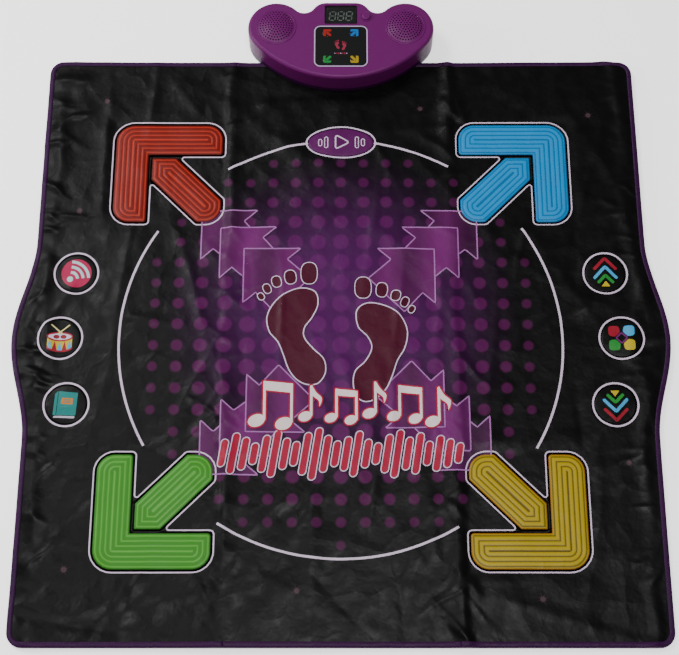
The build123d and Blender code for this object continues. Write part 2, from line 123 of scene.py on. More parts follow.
def rounded(corners, radii, close=True, bits=7):
    # a polygon whose corner points give way to arcs of their own radius
    points = np.array(corners, float)
    n = len(points)
    radii = np.broadcast_to(radii, n)
    path = []
    for i in range(n):
        p, before, after = points[i], points[i - 1], points[(i + 1) % n]
        if radii[i] <= 0 or (not close and i in (0, n - 1)):
            path.append(p[None])
            continue
        a, b = before - p, after - p
        a, b = a / np.linalg.norm(a), b / np.linalg.norm(b)
        half = math.acos(np.clip(a @ b, -1, 1)) / 2
        cut = radii[i] / math.tan(half)
        centre = p + (a + b) / np.linalg.norm(a + b) * radii[i] / math.sin(half)
        start, end = p + a * cut - centre, p + b * cut - centre
        t = np.linspace(0, 1, bits)[:, None]
        arc = start * (1 - t) + end * t
        path.append(centre + arc / np.linalg.norm(arc, axis=1)[:, None] * radii[i])
    return np.vstack(path)


def curveThrough(points, bits=10):
    # a closed Catmull-Rom curve through a few given points
    here = np.array(points, float)
    before, after, later = (np.roll(here, k, 0) for k in (1, -1, -2))
    t = np.linspace(0, 1, bits, endpoint=False)[:, None, None]
    curve = 0.5 * (
        2 * here
        + (after - before) * t
        + (2 * before - 5 * here + 4 * after - later) * t**2
        + (3 * here - before - 3 * after + later) * t**3
    )
    return curve.transpose(1, 0, 2).reshape(-1, 2)


def ring(x, y, rx, ry=None, bits=40, turn=0.0):
    # an ellipse, turned by so many degrees
    a = np.linspace(0, 2 * math.pi, bits, endpoint=False)
    flat = np.column_stack([rx * np.cos(a), (ry or rx) * np.sin(a)])
    return spun(flat, turn) + [x, y]


def rect(x0, y0, x1, y1):
    return np.array([(x0, y0), (x1, y0), (x1, y1), (x0, y1)], float)


def arcPath(x, y, rx, ry, start, end, bits):
    # part of an ellipse between two angles in degrees
    a = np.radians(np.linspace(start, end, bits))
    return np.column_stack([x + rx * np.cos(a), y + ry * np.sin(a)])


def spun(points, degrees):
    # flat points turned anticlockwise about (0, 0)
    c, s = math.cos(math.radians(degrees)), math.sin(math.radians(degrees))
    return np.asarray(points, float) @ np.array([[c, s], [-s, c]])


def leftTurning(loop):
    # the same loop, running anticlockwise
    loop = np.asarray(loop, float)
    area = np.sum(loop[:, 0] * np.roll(loop[:, 1], -1) - np.roll(loop[:, 0], -1) * loop[:, 1])
    return loop if area > 0 else loop[::-1]


def resampled(path, step, close):
    # the same path with points about a step apart
    p = np.vstack([path, path[:1]]) if close else np.asarray(path, float)
    run = np.concatenate([[0], np.cumsum(np.linalg.norm(np.diff(p, axis=0), axis=1))])
    count = max(int(round(run[-1] / step)), 2)
    at = np.linspace(0, run[-1], count + 1)
    new = np.column_stack([np.interp(at, run, p[:, 0]), np.interp(at, run, p[:, 1])])
    return new[:-1] if close else new


def isInside(points, loop):
    # even-odd rule: how many of the loop's edges a ray towards +x crosses
    count = np.zeros(len(points), int)
    for (ax, ay), (bx, by) in zip(loop, np.roll(loop, -1, 0)):
        spans = (ay > points[:, 1]) != (by > points[:, 1])
        if ay != by:
            count += spans & (points[:, 0] < (bx - ax) * (points[:, 1] - ay) / (by - ay) + ax)
    return count % 2 == 1


def reach(points, loop):
    # each point's distance from the loop
    best = np.full(len(points), 1e9)
    for a, b in zip(loop, np.roll(loop, -1, 0)):
        run = b - a
        t = np.clip(((points - a) @ run) / max(run @ run, 1e-12), 0, 1)[:, None]
        best = np.minimum(best, np.linalg.norm(points - a - t * run, axis=1))
    return best


def filled(loop, step):
    # triangles that fill the loop, with grid points inside it about a step apart
    loop = resampled(loop, step, True) if step else np.asarray(loop, float)
    low, high = loop.min(0), loop.max(0)
    spacing = step or 4.0
    gx, gy = np.meshgrid(np.arange(low[0], high[0], spacing), np.arange(low[1], high[1], spacing))
    gx[1::2] += spacing / 2
    grid = np.column_stack([gx.ravel(), gy.ravel()])
    grid = grid[isInside(grid, loop)]
    grid = grid[reach(grid, loop) > spacing * 0.45] if len(grid) else grid
    points = [Vector(p) for p in np.vstack([loop, grid])]
    got = delaunay_2d_cdt(points, [], [list(range(len(loop)))], 1, 1e-6)
    verts = np.array([tuple(v) for v in got[0]], float)
    tris = np.array(got[2], int)
    a, b, c = verts[tris[:, 0]], verts[tris[:, 1]], verts[tris[:, 2]]
    turnsLeft = (b - a)[:, 0] * (c - a)[:, 1] - (b - a)[:, 1] * (c - a)[:, 0]
    tris[turnsLeft < 0] = tris[turnsLeft < 0][:, ::-1]
    return verts, tris


def stroke(path, width, close, step):
    # a line of even width along a path: points to its left and right, joined across
    p = resampled(path, step, close)
    if close:
        ahead, behind = np.roll(p, -1, 0), np.roll(p, 1, 0)
    else:
        ahead, behind = np.vstack([p[1:], p[-1:]]), np.vstack([p[:1], p[:-1]])
    tangent = ahead - behind
    tangent /= np.maximum(np.linalg.norm(tangent, axis=1), 1e-9)[:, None]
    normal = np.column_stack([-tangent[:, 1], tangent[:, 0]]) * width / 2
    n = len(p)
    i = np.arange(n if close else n - 1)
    j = (i + 1) % n
    tris = np.vstack([np.column_stack([i, i + n, j]), np.column_stack([j, i + n, j + n])])
    return np.vstack([p + normal, p - normal]), tris


# the cover's folds, each pair a lowest and a highest value in millimetres, or in radians for slant
folds = {
    "count": 150, "width": (7.0, 17.0), "length": (30.0, 130.0), "height": (0.4, 1.9),
    "creaseHeight": 4.2, "creaseOut": 7.0, "creaseIn": 15.0, "roll": 0.9,
    "puckers": 30, "puckerIn": (15.0, 52.0), "puckerWidth": (4.0, 8.0), "puckerLength": (12.0, 30.0),
    "puckerHeight": (0.9, 2.7), "rightShare": 0.5,
    "hemHeight": 2.9, "hemIn": 23.0, "hemWidth": 10.0,
    "creaseFolds": 34, "slant": (0.35, 1.25), "slantWidth": (4.5, 9.0), "slantLength": (14.0, 42.0),
    "slantHeight": (0.6, 2.0), "slantSpread": 17,
}
# folds given one by one: x, y, direction in radians, width, length and height
handFolds = [
    (-425, 60, 1.75, 13, 70, 2.4), (-432, -70, 1.35, 12, 60, 2.6), (-405, 40, 1.2, 9, 60, 1.6),
    (-415, -20, 1.9, 8, 50, 1.9), (-418, 330, 0.9, 12, 60, 2.0), (-350, 300, 1.62, 12, 110, 1.8),
    (425, 40, 1.4, 12, 80, 2.0), (430, -90, 1.8, 11, 70, 2.2), (395, 260, 2.1, 13, 90, 1.6),
    (-85, 20, 1.6, 6, 80, 1.5), (83, 40, 1.5, 7, 70, 1.9), (72, -110, 1.62, 7, 90, 1.9),
    (45, -240, 1.5, 8, 60, 1.7), (-40, -300, 1.7, 14, 120, 1.4), (120, -300, 1.2, 12, 110, 1.6),
    (-210, 60, 1.9, 10, 100, 2.0), (-200, -60, 1.2, 9, 80, 2.0), (215, -30, 1.5, 9, 110, 1.5),
    (-120, 330, 2.6, 14, 110, 1.5), (110, 350, 0.5, 13, 110, 1.4), (0, 380, 0.1, 10, 120, 0.9),
    (-300, -400, 0.3, 12, 130, 1.7), (300, -405, 2.9, 12, 130, 1.5), (140, 20, 1.55, 9, 90, 1.8),
]
dice = np.random.default_rng(mat["seed"])


def crumples():
    # every fold as a row of x, y, direction, width, length and height
    n = folds["count"]
    rows = [np.column_stack([
        dice.uniform(-450, 450, n),
        dice.uniform(-430, 430, n),
        dice.normal(math.pi / 2, 0.75, n),
        dice.uniform(*folds["width"], n),
        dice.uniform(*folds["length"], n),
        dice.uniform(*folds["height"], n) * np.where(dice.random(n) < 0.3, -0.6, 1.0),
    ]), np.array(handFolds)]
    # short puckers that run in from each side hem, and slanting folds that cross each crease
    for side in (-1, 1):
        n = folds["puckers"]
        y = dice.uniform(-415, 415, n)
        rows.append(np.column_stack([
            side * (sideOf(y) - dice.uniform(*folds["puckerIn"], n)), y, dice.normal(0, 0.4, n),
            dice.uniform(*folds["puckerWidth"], n), dice.uniform(*folds["puckerLength"], n),
            dice.uniform(*folds["puckerHeight"], n) * (1.0 if side < 0 else folds["rightShare"]),
        ]))
        n = folds["creaseFolds"]
        slant = dice.uniform(*folds["slant"], n) * np.where(dice.random(n) < 0.5, -1, 1)
        rows.append(np.column_stack([
            side * (mat["fold"] + dice.normal(0, folds["slantSpread"], n)), dice.uniform(-430, 430, n), slant,
            dice.uniform(*folds["slantWidth"], n), dice.uniform(*folds["slantLength"], n),
            dice.uniform(*folds["slantHeight"], n),
        ]))
    return np.vstack(rows)


foldTable = crumples()


def lay(x, y):
    # the cover's rise above its flat height in millimetres: each fold is a bell mixed with a
    # sharper peak across it, times a bell along it. A crease is a ridge at the fold line, a hem has a
    # lower ridge beside it, and slow rolls add long waves
    x, y = np.broadcast_arrays(np.asarray(x, float), np.asarray(y, float))
    z = np.zeros(x.shape)
    for cx, cy, angle, width, length, height in foldTable:
        span = 2.6 * length + 2.0 * width
        near = (np.abs(x - cx) < span) & (np.abs(y - cy) < span)
        dx, dy = x[near] - cx, y[near] - cy
        along = dx * math.cos(angle) + dy * math.sin(angle)
        across = -dx * math.sin(angle) + dy * math.cos(angle) + 0.4 * width * np.sin(along / length * 2.2)
        bell = np.exp(-((across / width) ** 2))
        peak = np.exp(1.0 - np.sqrt(1.0 + (2.2 * across / width) ** 2))
        z[near] += height * (0.45 * bell + 0.55 * peak) * np.exp(-((along / length) ** 2))
    z += folds["roll"] * (np.sin(x / 61.0 + y / 170.0) + np.sin(y / 83.0 - x / 140.0) + 1.2)
    for side in (-1, 1):
        past = side * x - mat["fold"]
        wander = 2.5 * np.sin(y / 57.0 + side) + 1.5 * np.sin(y / 23.0)
        off = past + wander + 3.0
        ridge = np.exp(-((off / np.where(off > 0, folds["creaseOut"], folds["creaseIn"])) ** 2))
        strong = 0.62 + 0.38 * np.sin(y / 71.0 + 2.0 * side)
        z += folds["creaseHeight"] * strong * ridge
    for side in (-1, 1):
        hem = (sideOf(y) - side * x - folds["hemIn"] - 3.0 * np.sin(y / 31.0 + side)) / folds["hemWidth"]
        z += folds["hemHeight"] * (0.6 + 0.4 * np.sin(y / 44.0 - side)) * np.exp(-(hem**2))
    z *= 1 - 0.75 * nearPads(x, y)
    underConsole = smooth(366, 388, y) * (1 - smooth(140, 165, np.abs(x)))
    return np.maximum(z, 0.0) * (1 - underConsole)


def nearPads(x, y):
    # 1 over the arrow pads and 0 away from them
    near = np.zeros(np.broadcast(x, y).shape)
    for px, py in arrowPlace.values():
        near = np.maximum(near, 1 - smooth(78, 100, np.maximum(np.abs(x - px), np.abs(y - py))))
    return near


arrow = {
    "bar": 49.5, "shaft": 50.5, "gap": 5.5, "corner": 27.0, "end": 24.0, "nose": 4.5, "line": 2.0, "lineOut": 4.1,
}
arrowTurn = {"red": 0, "blue": 270, "yellow": 180, "green": 90}
arrowBox = {key: edges(f"{key}_arrow_head") for key in arrowTurn}
arrowPlace = {key: (low + high)[:2] / 2 - [0, mat["y"]] for key, (low, high) in arrowBox.items()}
arrow["size"] = float(arrowBox["red"][1][0] - arrowBox["red"][0][0])


def headLoop():
    # the L of two bars of an arrow that points to -x and +y
    h = arrow["size"] / 2
    b = h - arrow["bar"]
    radii = [arrow["end"], arrow["corner"], arrow["end"], arrow["nose"], 1.0, arrow["nose"]]
    return rounded([(-h, -h), (-h, h), (h, h), (h, b), (-b, b), (-b, -h)], radii)[::-1]


def tailLoop():
    # the diagonal shaft, square to the head at its near end and cut by the arrow's square at the far end
    h = arrow["size"] / 2
    tip = h - arrow["bar"] - arrow["gap"]
    side = arrow["shaft"] / math.sqrt(2)
    corners = [(-tip, tip), (-tip + side, tip), (h, side - h), (h, -h), (h - side, -h), (-tip, tip - side)]
    return rounded(corners, [1.0, 3.0, 3.0, arrow["end"], 3.0, 3.0])[::-1]


def arrowOutline(grow):
    # one line round head and shaft together, its inner corners where the shaft's sides meet the bars
    h = arrow["size"] / 2 + grow
    b = arrow["size"] / 2 - arrow["bar"] - grow
    out = (arrow["shaft"] / 2 + grow) * math.sqrt(2)
    corners = [
        (-h, -h), (-h, h), (h, h), (h, b), (out - b, b), (h, out - h),
        (h, -h), (h - out, -h), (-b, b - out), (-b, -h),
    ]
    end, corner = arrow["end"] + grow, arrow["corner"] + grow
    return rounded(corners, [end, corner, end, 6, 3, 8, end, 8, 3, 6])[::-1]


def onArrow(points, colourName):
    # flat points drawn for the red arrow, turned and moved to an arrow's own place
    return spun(points, arrowTurn[colourName]) + arrowPlace[colourName]


icon = {"radius": 29.0, "ring": 31.6, "line": 2.7}
iconRows = {"back": (383.0, 92.0), "middle": (400.0, -8.0), "front": (385.0, -107.0)}
# each round pad's side, row and middle
iconPlaces = [(side, row, side * px, py) for side in (-1, 1) for row, (px, py) in iconRows.items()]
startPad = {"y": 304.0, "rx": 49.0, "ry": 23.0, "ring": 2.6, "line": 2.4}


def wellDepth(x, y):
    # how far the cover drops under each pad: its well's wall lies between two distances from the pad
    depth = mat["coverTop"] - mat["wellFloor"]
    points = np.column_stack([x.ravel(), y.ravel()])
    drop = np.zeros(len(points))
    loops = [onArrow(loop, colourName) for colourName in arrowTurn for loop in (headLoop(), tailLoop())]
    loops += [ring(px, py, icon["radius"]) for side, row, px, py in iconPlaces]
    loops.append(ring(0, startPad["y"], startPad["rx"], startPad["ry"]))
    for loop in loops:
        low, high = loop.min(0) - 6, loop.max(0) + 6
        near = ((points > low) & (points < high)).all(1)
        if not near.any():
            continue
        away = np.where(isInside(points[near], loop), -1, 1) * reach(points[near], loop)
        drop[near] = np.maximum(drop[near], depth * (1 - smooth(0.5, 2.6, away)))
    return drop.reshape(np.shape(x))


def onMat(flat, z):
    # flat millimetres and a height in millimetres, as the frame's metres
    heights = np.broadcast_to(z, len(flat)) * mm
    return np.column_stack([flat[:, 0] * mm, (flat[:, 1] + mat["y"]) * mm, heights])


def newMesh(name, verts, faces, materials, index=None, isSmooth=True):
    # one object from points and faces. A UV map holds each corner's place on the flat mat in metres,
    # so print and weave bend with the cloth
    verts = np.asarray(verts, float)
    data = bpy.data.meshes.new(name)
    data.from_pydata(verts.tolist(), [], faces.tolist() if hasattr(faces, "tolist") else list(faces))
    for m in materials:
        data.materials.append(m)
    if index is not None:
        data.polygons.foreach_set("material_index", np.asarray(index, np.int32))
    data.polygons.foreach_set("use_smooth", np.full(len(data.polygons), isSmooth))
    data.update()
    obj = bpy.data.objects.new(name, data)
    bpy.context.collection.objects.link(obj)
    flat = verts[:, :2] / mm - [0, mat["y"]]
    corners = np.zeros(len(data.loops), np.int32)
    data.loops.foreach_get("vertex_index", corners)
    where = data.uv_layers.new(name="flatPlace")
    where.data.foreach_set("uv", (flat[corners] * mm).astype(np.float32).ravel())
    return obj


def gridFaces(rows, columns, wraps=False):
    # quads of a grid of points stored row by row
    r, c = np.meshgrid(np.arange(rows - 1), np.arange(columns if wraps else columns - 1), indexing="ij")
    here, above = r.ravel() * columns, (r.ravel() + 1) * columns
    c = c.ravel()
    after = (c + 1) % columns
    return np.column_stack([here + c, here + after, above + after, above + c])


def setTone(obj, values, name="tone"):
    # a number at each point that the material reads
    layer = obj.data.attributes.new(name, "FLOAT", "POINT")
    layer.data.foreach_set("value", np.asarray(values, np.float32))


def carry(obj, side):
    # a centre piece rides the console's body; a side piece has its transform baked into its points
    if not side:
        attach(obj, "mat_and_console")
        return
    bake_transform(obj)


def colour(hexCode):
    # an sRGB hex value as linear light
    parts = [int(hexCode[i:i + 2], 16) / 255 for i in (1, 3, 5)]
    return [p / 12.92 if p <= 0.04045 else ((p + 0.055) / 1.055) ** 2.4 for p in parts] + [1.0]


usualOutput = {
    "TexNoise": "Fac", "TexVoronoi": "Distance", "TexChecker": "Color", "Attribute": "Fac",
    "MapRange": "Result", "Math": "Value", "VectorMath": "Vector", "Mapping": "Vector", "Mix": 2, "Bump": "Normal",
}
rgb = {"data_type": "RGBA"}
soft = {"interpolation_type": "SMOOTHSTEP"}


def newMaterial(name, hexCode, roughness, **shader):
    # a Principled material whose even values sit on its sockets, with one function that adds a node and
    # gives back its output, and one that feeds the shader
    material = bpy.data.materials.new(name)
    material.use_nodes = True
    tree = material.node_tree
    shade = tree.nodes["Principled BSDF"]
    shade.inputs["Base Color"].default_value = colour(hexCode)
    shade.inputs["Roughness"].default_value = roughness
    for key, value in shader.items():
        shade.inputs[key.replace("_", " ")].default_value = value

    def add(kind, settings=None, out=None, **links):
        # settings are the node's own properties or its inputs' values; links go to inputs by name, or
        # by number as i0, i1
        node = tree.nodes.new("ShaderNode" + kind)
        for key, value in (settings or {}).items():
            if isinstance(key, str) and hasattr(node, key):
                setattr(node, key, value)
            else:
                node.inputs[key].default_value = value
        for key, source in links.items():
            tree.links.new(source, node.inputs[int(key[1:]) if key[1:].isdigit() else key])
        return node.outputs[out or usualOutput[kind]]

    def feed(**sources):
        for key, source in sources.items():
            tree.links.new(source, shade.inputs[key.replace("_", " ")])

    return material, add, feed


def mapped(add, source, fromMin, fromMax, toMin=0.0, toMax=1.0, **settings):
    values = {**settings, "From Min": fromMin, "From Max": fromMax, "To Min": toMin, "To Max": toMax}
    return add("MapRange", values, Value=source)


def bumped(add, strength, distance, height, **below):
    return add("Bump", {"Strength": strength, "Distance": distance}, Height=height, **below)


def crumpleBump(add, feed, place, strength=1.0):
    # coated cloth seen close: creased facets 45 mm across, softer crumples of 22 mm and 7 mm, and a 1.4 mm
    # weave, drawn coarse to show
    bent = add("TexNoise", {"Scale": 14.0, "Detail": 2.0}, "Color", Vector=place)
    shifted = add("VectorMath", {"operation": "MULTIPLY_ADD", 1: (0.05, 0.05, 0.05)}, i0=bent, i2=place)
    facet = add("TexVoronoi", {"Scale": 22.0}, Vector=shifted)
    big = add("TexNoise", {"Scale": 45.0, "Detail": 2.0, "Roughness": 0.5}, Vector=place)
    small = add("TexNoise", {"Scale": 140.0, "Detail": 2.0}, Vector=place)
    weave = add("TexVoronoi", {"Scale": 720.0, "Randomness": 0.35}, Vector=place)
    bump = bumped(add, 0.42 * strength, 0.0042, facet)
    for share, distance, height in ((0.36, 0.0026, big), (0.2, 0.0009, small), (0.12, 0.0003, weave)):
        bump = bumped(add, share * strength, distance, height, Normal=bump)
    feed(Normal=bump)
    return big


def coatedCloth(name, hexCode, second, roughness=0.42, tone=False):
    # polyurethane-coated polyester, printed: a low even sheen that breaks up over small crumples.
    # second is the colour at tone 1, or of the cloth's faint patches
    material, add, feed = newMaterial(name, hexCode, roughness, Specular_IOR_Level=0.12)
    big = crumpleBump(add, feed, add("TexCoord", out="UV"))
    source = add("Attribute", {"attribute_name": "tone"}) if tone else big
    feed(
        Roughness=mapped(add, big, 0.3, 0.7, roughness - 0.06, roughness + 0.07),
        Base_Color=add("Mix", {**rgb, 6: colour(hexCode), 7: colour(second)}, Factor=source),
    )
    return material


gripDot = {"pitch": 0.009, "radius": 0.0019}


def gripCloth():
    # the non-slip backing: matt black polyester with small rubbery dots 9 mm apart
    material, add, feed = newMaterial("gripBacking", "#101011", 0.8, Specular_IOR_Level=0.15)
    place = add("TexCoord", out="UV")
    pitch, radius = gripDot["pitch"], gripDot["radius"]
    moved = add("VectorMath", {"operation": "ADD", 1: (pitch / 2, pitch / 2, 0)}, i0=place)
    dot = add("VectorMath", {"operation": "SNAP", 1: (pitch, pitch, 1.0)}, i0=moved)
    away = add("VectorMath", {"operation": "DISTANCE"}, "Value", i0=place, i1=dot)
    raised = mapped(add, away, radius * 1.15, radius * 0.8, **soft)
    weave = add("TexVoronoi", {"Scale": 720.0, "Randomness": 0.35}, Vector=place)
    feed(
        Base_Color=add("Mix", {**rgb, 6: colour("#0d0d0e"), 7: colour("#262628")}, Factor=raised),
        Normal=bumped(add, 0.6, 0.0004, raised, Normal=bumped(add, 0.25, 0.0003, weave)),
    )
    return material


halftone = {
    "pitch": (0.0334, 0.032), "first": (0.0, 0.2695), "reach": 0.298, "middle": (0.0, -0.009), "largest": 0.0123,
}


def coverCloth():
    # the cover itself: black coated cloth printed with a violet glow and rows of dots that shrink outwards
    material, add, feed = newMaterial("blackCoatedCloth", "#060606", 0.4, Specular_IOR_Level=0.1)
    place = add("TexCoord", out="UV")
    big = crumpleBump(add, feed, place)
    # each point's nearest dot: (place - first + half a pitch) snapped down to the pitch, and first again
    pitch, first, middle = halftone["pitch"], halftone["first"], halftone["middle"]
    half = (pitch[0] / 2 - first[0], pitch[1] / 2 - first[1], 0)
    moved = add("VectorMath", {"operation": "ADD", 1: half}, i0=place)
    snapped = add("VectorMath", {"operation": "SNAP", 1: (*pitch, 1.0)}, i0=moved)
    dot = add("VectorMath", {"operation": "ADD", 1: (*first, 0)}, i0=snapped)
    away = add("VectorMath", {"operation": "DISTANCE"}, "Value", i0=place, i1=dot)
    far = add("VectorMath", {"operation": "DISTANCE", 1: (*middle, 0)}, "Value", i0=dot)
    size = mapped(add, far, 0.1, 0.32, halftone["largest"], halftone["largest"] * 0.5, **soft)
    disc = mapped(add, add("Math", {"operation": "SUBTRACT"}, i0=size, i1=away), -0.0022, 0.002, **soft)
    within = mapped(add, far, halftone["reach"], 0.0, 0.42, 1.0)
    edge = add("Math", {"operation": "LESS_THAN", 1: halftone["reach"]}, i0=far)
    tint = add("Math", {"operation": "MULTIPLY"}, i0=disc, i1=within)
    tint = add("Math", {"operation": "MULTIPLY"}, i0=tint, i1=edge)
    centre = add("VectorMath", {"operation": "DISTANCE", 1: (0, 0.03, 0)}, "Value", i0=place)
    glow = mapped(add, centre, 0.27, 0.05, **soft)
    ground = add("Mix", {**rgb, 6: colour("#050505"), 7: colour("#3e0c43")}, Factor=glow)
    ink = add("Mix", {**rgb, 6: colour("#540c48"), 7: colour("#4d114e")}, Factor=glow)
    printed = add("Mix", rgb, Factor=tint, i6=ground, i7=ink)
    feed(Roughness=mapped(add, big, 0.3, 0.7, 0.34, 0.48), Base_Color=printed)
    return material


def quiltedCloth(name, ground, line, rim):
    # glossy coated cloth welded over foam: printed lines follow the welds, and the rim is darker, painted shade where
    # the cushion's edge and walls drop into its well
    material, add, feed = newMaterial(name, ground, 0.4, Specular_IOR_Level=0.14)
    crumpleBump(add, feed, add("TexCoord", out="UV"), 0.6)
    tone, edge = (add("Attribute", {"attribute_name": key}) for key in ("tone", "rim"))
    lined = add("Mix", {**rgb, 6: colour(ground), 7: colour(line)}, Factor=tone)
    feed(Base_Color=add("Mix", {**rgb, 7: colour(rim)}, Factor=edge, i6=lined))
    return material


def mouldedPlastic(name, hexCode, roughness, grain=0.25):
    # injection-moulded ABS: a fine spark-eroded grain, 0.6 mm, drawn coarse enough to show
    material, add, feed = newMaterial(name, hexCode, roughness, IOR=1.53, Specular_IOR_Level=0.16)
    place = add("TexCoord", out="Object")
    grit = add("TexNoise", {"Scale": 1700.0, "Detail": 3.0}, Vector=place)
    cloud = add("TexNoise", {"Scale": 60.0, "Detail": 2.0}, Vector=place)
    rough = mapped(add, cloud, 0.0, 1.0, roughness - 0.05, roughness + 0.08)
    feed(Roughness=rough, Normal=bumped(add, grain, 0.0002, grit))
    return material


cloth = {"cover": coverCloth(), "under": gripCloth()}
for key, name, *look in (
    ("white", "whitePrint", "#c2b2c4", "#b3a1b6"),
    ("lilac", "lilacPrint", "#946096", "#845288"),
    ("ribbon", "ribbonPrint", "#2c0729", "#5d1857", 0.42, True),
    ("foot", "footPrint", "#38041a", "#40061f"),
    ("titleWhite", "warmWhitePrint", "#d3c4c4", "#c6b5b6"),
    ("titleRed", "crimsonPrint", "#86102a", "#961a36"),
    ("startPurple", "startPrint", "#400a3e", "#520f4f"),
    ("star", "starPrint", "#0a090a", "#5e424c", 0.42, True),
    ("tape", "purpleTape", "#24052a", "#310a37", 0.5),
    ("thread", "purpleThread", "#35103f", "#2a0c33", 0.6),
    ("iconRed", "iconRedInk", "#77101f", "#8a1a2b"),
    ("iconRose", "iconRoseInk", "#8a0f38", "#9c1b46"),
    ("iconGreen", "iconGreenInk", "#196a24", "#297e33"),
    ("iconYellow", "iconYellowInk", "#a08d15", "#b09c22"),
    ("iconTeal", "iconTealInk", "#0d5f5d", "#17716e"),
    ("iconOrange", "iconOrangeInk", "#a85c18", "#b66d26"),
    ("iconPale", "iconPaleInk", "#8fb0b4", "#a3bfc2"),
    ("iconSky", "iconSkyInk", "#2c84b2", "#3b92be"),
    ("iconCream", "iconCreamInk", "#b9ab6c", "#c7ba80"),
):
    cloth[key] = coatedCloth(name, *look)
# each pad's ground, printed line and rim colours; the darker rim colour is painted shade
for key, *look in (
    ("red", "#5f0c05", "#a02b19", "#450a05"), ("blue", "#127ab4", "#09507f", "#0d5a8c"),
    ("green", "#2c7016", "#4e9232", "#215a14"), ("yellow", "#97820c", "#372b04", "#80510c"),
):
    cloth[key + "Pad"] = quiltedCloth(key + "QuiltedCloth", *look)
for key, name, *look in (
    ("paleLilac", "lilacInk", "#a58aae", 0.5), ("signPink", "roseInk", "#7d1f36", 0.5),
    ("digitGrey", "digitDiffuser", "#b3bab5", 0.5), ("redSign", "redLampInk", "#831a13", 0.4),
    ("blueSign", "blueLampInk", "#165a98", 0.4), ("greenSign", "greenLampInk", "#1a6e2f", 0.4),
    ("yellowSign", "yellowLampInk", "#8f7716", 0.4),
):
    cloth[key] = mouldedPlastic(name, *look, grain=0.05)
print("materials made")


def panelGrid(side, inset, rows, columns):
    # flat points of one panel: rows run along y, columns from left to right
    y = np.linspace(-mat["halfDepth"] + inset, mat["halfDepth"] - inset, rows)
    if side:
        width = sideOf(y) - inset - mat["near"]
        x = (side * (mat["near"] + width[:, None] * np.linspace(0, 1, columns)))[:, ::side]
    else:
        x = np.broadcast_to(mat["near"] * np.linspace(-1, 1, columns), (rows, columns))
    y = np.broadcast_to(y[:, None], x.shape)
    return np.column_stack([x.ravel(), y.ravel()])


def fabricPanel(side):
    # one panel's cover, a height surface, and its backing, a closed flat slab
    panel = sideNames[side]
    width = mat["halfWidth"] - mat["near"] if side else 2 * mat["near"]
    rows, columns = int(2 * mat["halfDepth"] / mat["cell"]), int(width / mat["cell"])
    flat = panelGrid(side, mat["coverInset"], rows, columns)
    z = mat["coverTop"] + lay(*flat.T) - wellDepth(*flat.T)
    obj = newMesh(f"{panel}Cover", onMat(flat, z), gridFaces(rows, columns), [cloth["cover"]])
    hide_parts(f"{panel}_cover", f"{panel}_upper_film", f"{panel}_foam_spacer")
    carry(obj, side)

    rows, columns = backing["rows"], backing["columns"]
    flat = panelGrid(side, backing["inset"], rows, columns)
    n = rows * columns
    faces = gridFaces(rows, columns)
    rim = np.concatenate([
        np.arange(columns), np.arange(1, rows) * columns + columns - 1,
        n - 2 - np.arange(columns - 1), np.arange(rows - 2, 0, -1) * columns,
    ])
    after = np.roll(rim, -1)
    walls = np.column_stack([rim + n, after + n, after, rim])
    verts = np.vstack([onMat(flat, backing["top"]), onMat(flat, backing["bottom"])])
    obj = newMesh(f"{panel}Backing", verts, np.vstack([faces, faces[:, ::-1] + n, walls]), [cloth["under"]])
    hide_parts(f"{panel}_backing")
    carry(obj, side)


def tapeProfile():
    # inward distance from the edge, and height, once round the folded tape; the third number is 1 where
    # the height follows the cover
    top, w = mat["coverTop"], tape["width"]
    return np.array([
        (w, top + 0.15, 1), (w - 0.3, top + 0.7, 1), (5.0, top + 0.95, 1), (2.2, top + 0.9, 1),
        (0.9, top + 0.35, 1), (0.15, top - 0.8, 0.8), (0.0, 3.4, 0.4), (0.15, 1.3, 0), (0.9, 0.25, 0),
        (2.4, 0.0, 0), (w, 0.0, 0),
        (w, 0.5, 0), (2.6, 0.6, 0), (1.1, 1.4, 0), (0.9, 3.4, 0.4), (1.1, top - 0.9, 0.8),
        (2.4, top + 0.2, 1), (5.0, top + 0.3, 1),
    ])


def edgeFrame(step):
    # the edge path with its directions along and inward
    path = outlinePath(step)
    tangent = np.roll(path, -1, 0) - np.roll(path, 1, 0)
    tangent /= np.linalg.norm(tangent, axis=1)[:, None]
    return path, tangent, np.column_stack([-tangent[:, 1], tangent[:, 0]])


def panelOf(x):
    return np.where(x < -mat["near"], -1, np.where(x > mat["near"], 1, 0))


def bindingPieces():
    # the tape's profile carried round the edge and cut at the folds
    path, tangent, inward = edgeFrame(3.0)
    profile = tapeProfile()
    where, n, k = panelOf(path[:, 0]), len(path), len(profile)
    starts = [i for i in range(n) if where[i] != where[i - 1]]
    made = {side: ([], []) for side in (-1, 0, 1)}
    for start, after in zip(starts, starts[1:] + starts[:1]):
        run = (start + np.arange((after - start) % n + 1)) % n
        flat = path[run][:, None, :] + inward[run][:, None, :] * profile[None, :, 0, None]
        pucker = 0.12 * np.sin(np.arange(len(run)) * 1.7)[:, None]
        z = profile[None, :, 1] + profile[None, :, 2] * (lay(flat[..., 0], flat[..., 1]) + pucker)
        verts, faces = made[int(where[start])]
        count = sum(map(len, verts))
        caps = [np.arange(k)[::-1], (len(run) - 1) * k + np.arange(k)]
        faces += (gridFaces(len(run), k, True) + count).tolist() + [(cap + count).tolist() for cap in caps]
        verts.append(onMat(flat.reshape(-1, 2), z.ravel()))
    for side, (verts, faces) in made.items():
        obj = newMesh(f"{sideNames[side]}Binding", np.vstack(verts), faces, [cloth["tape"]])
        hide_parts(f"{sideNames[side]}_binding")
        carry(obj, side)
        stitches(side)


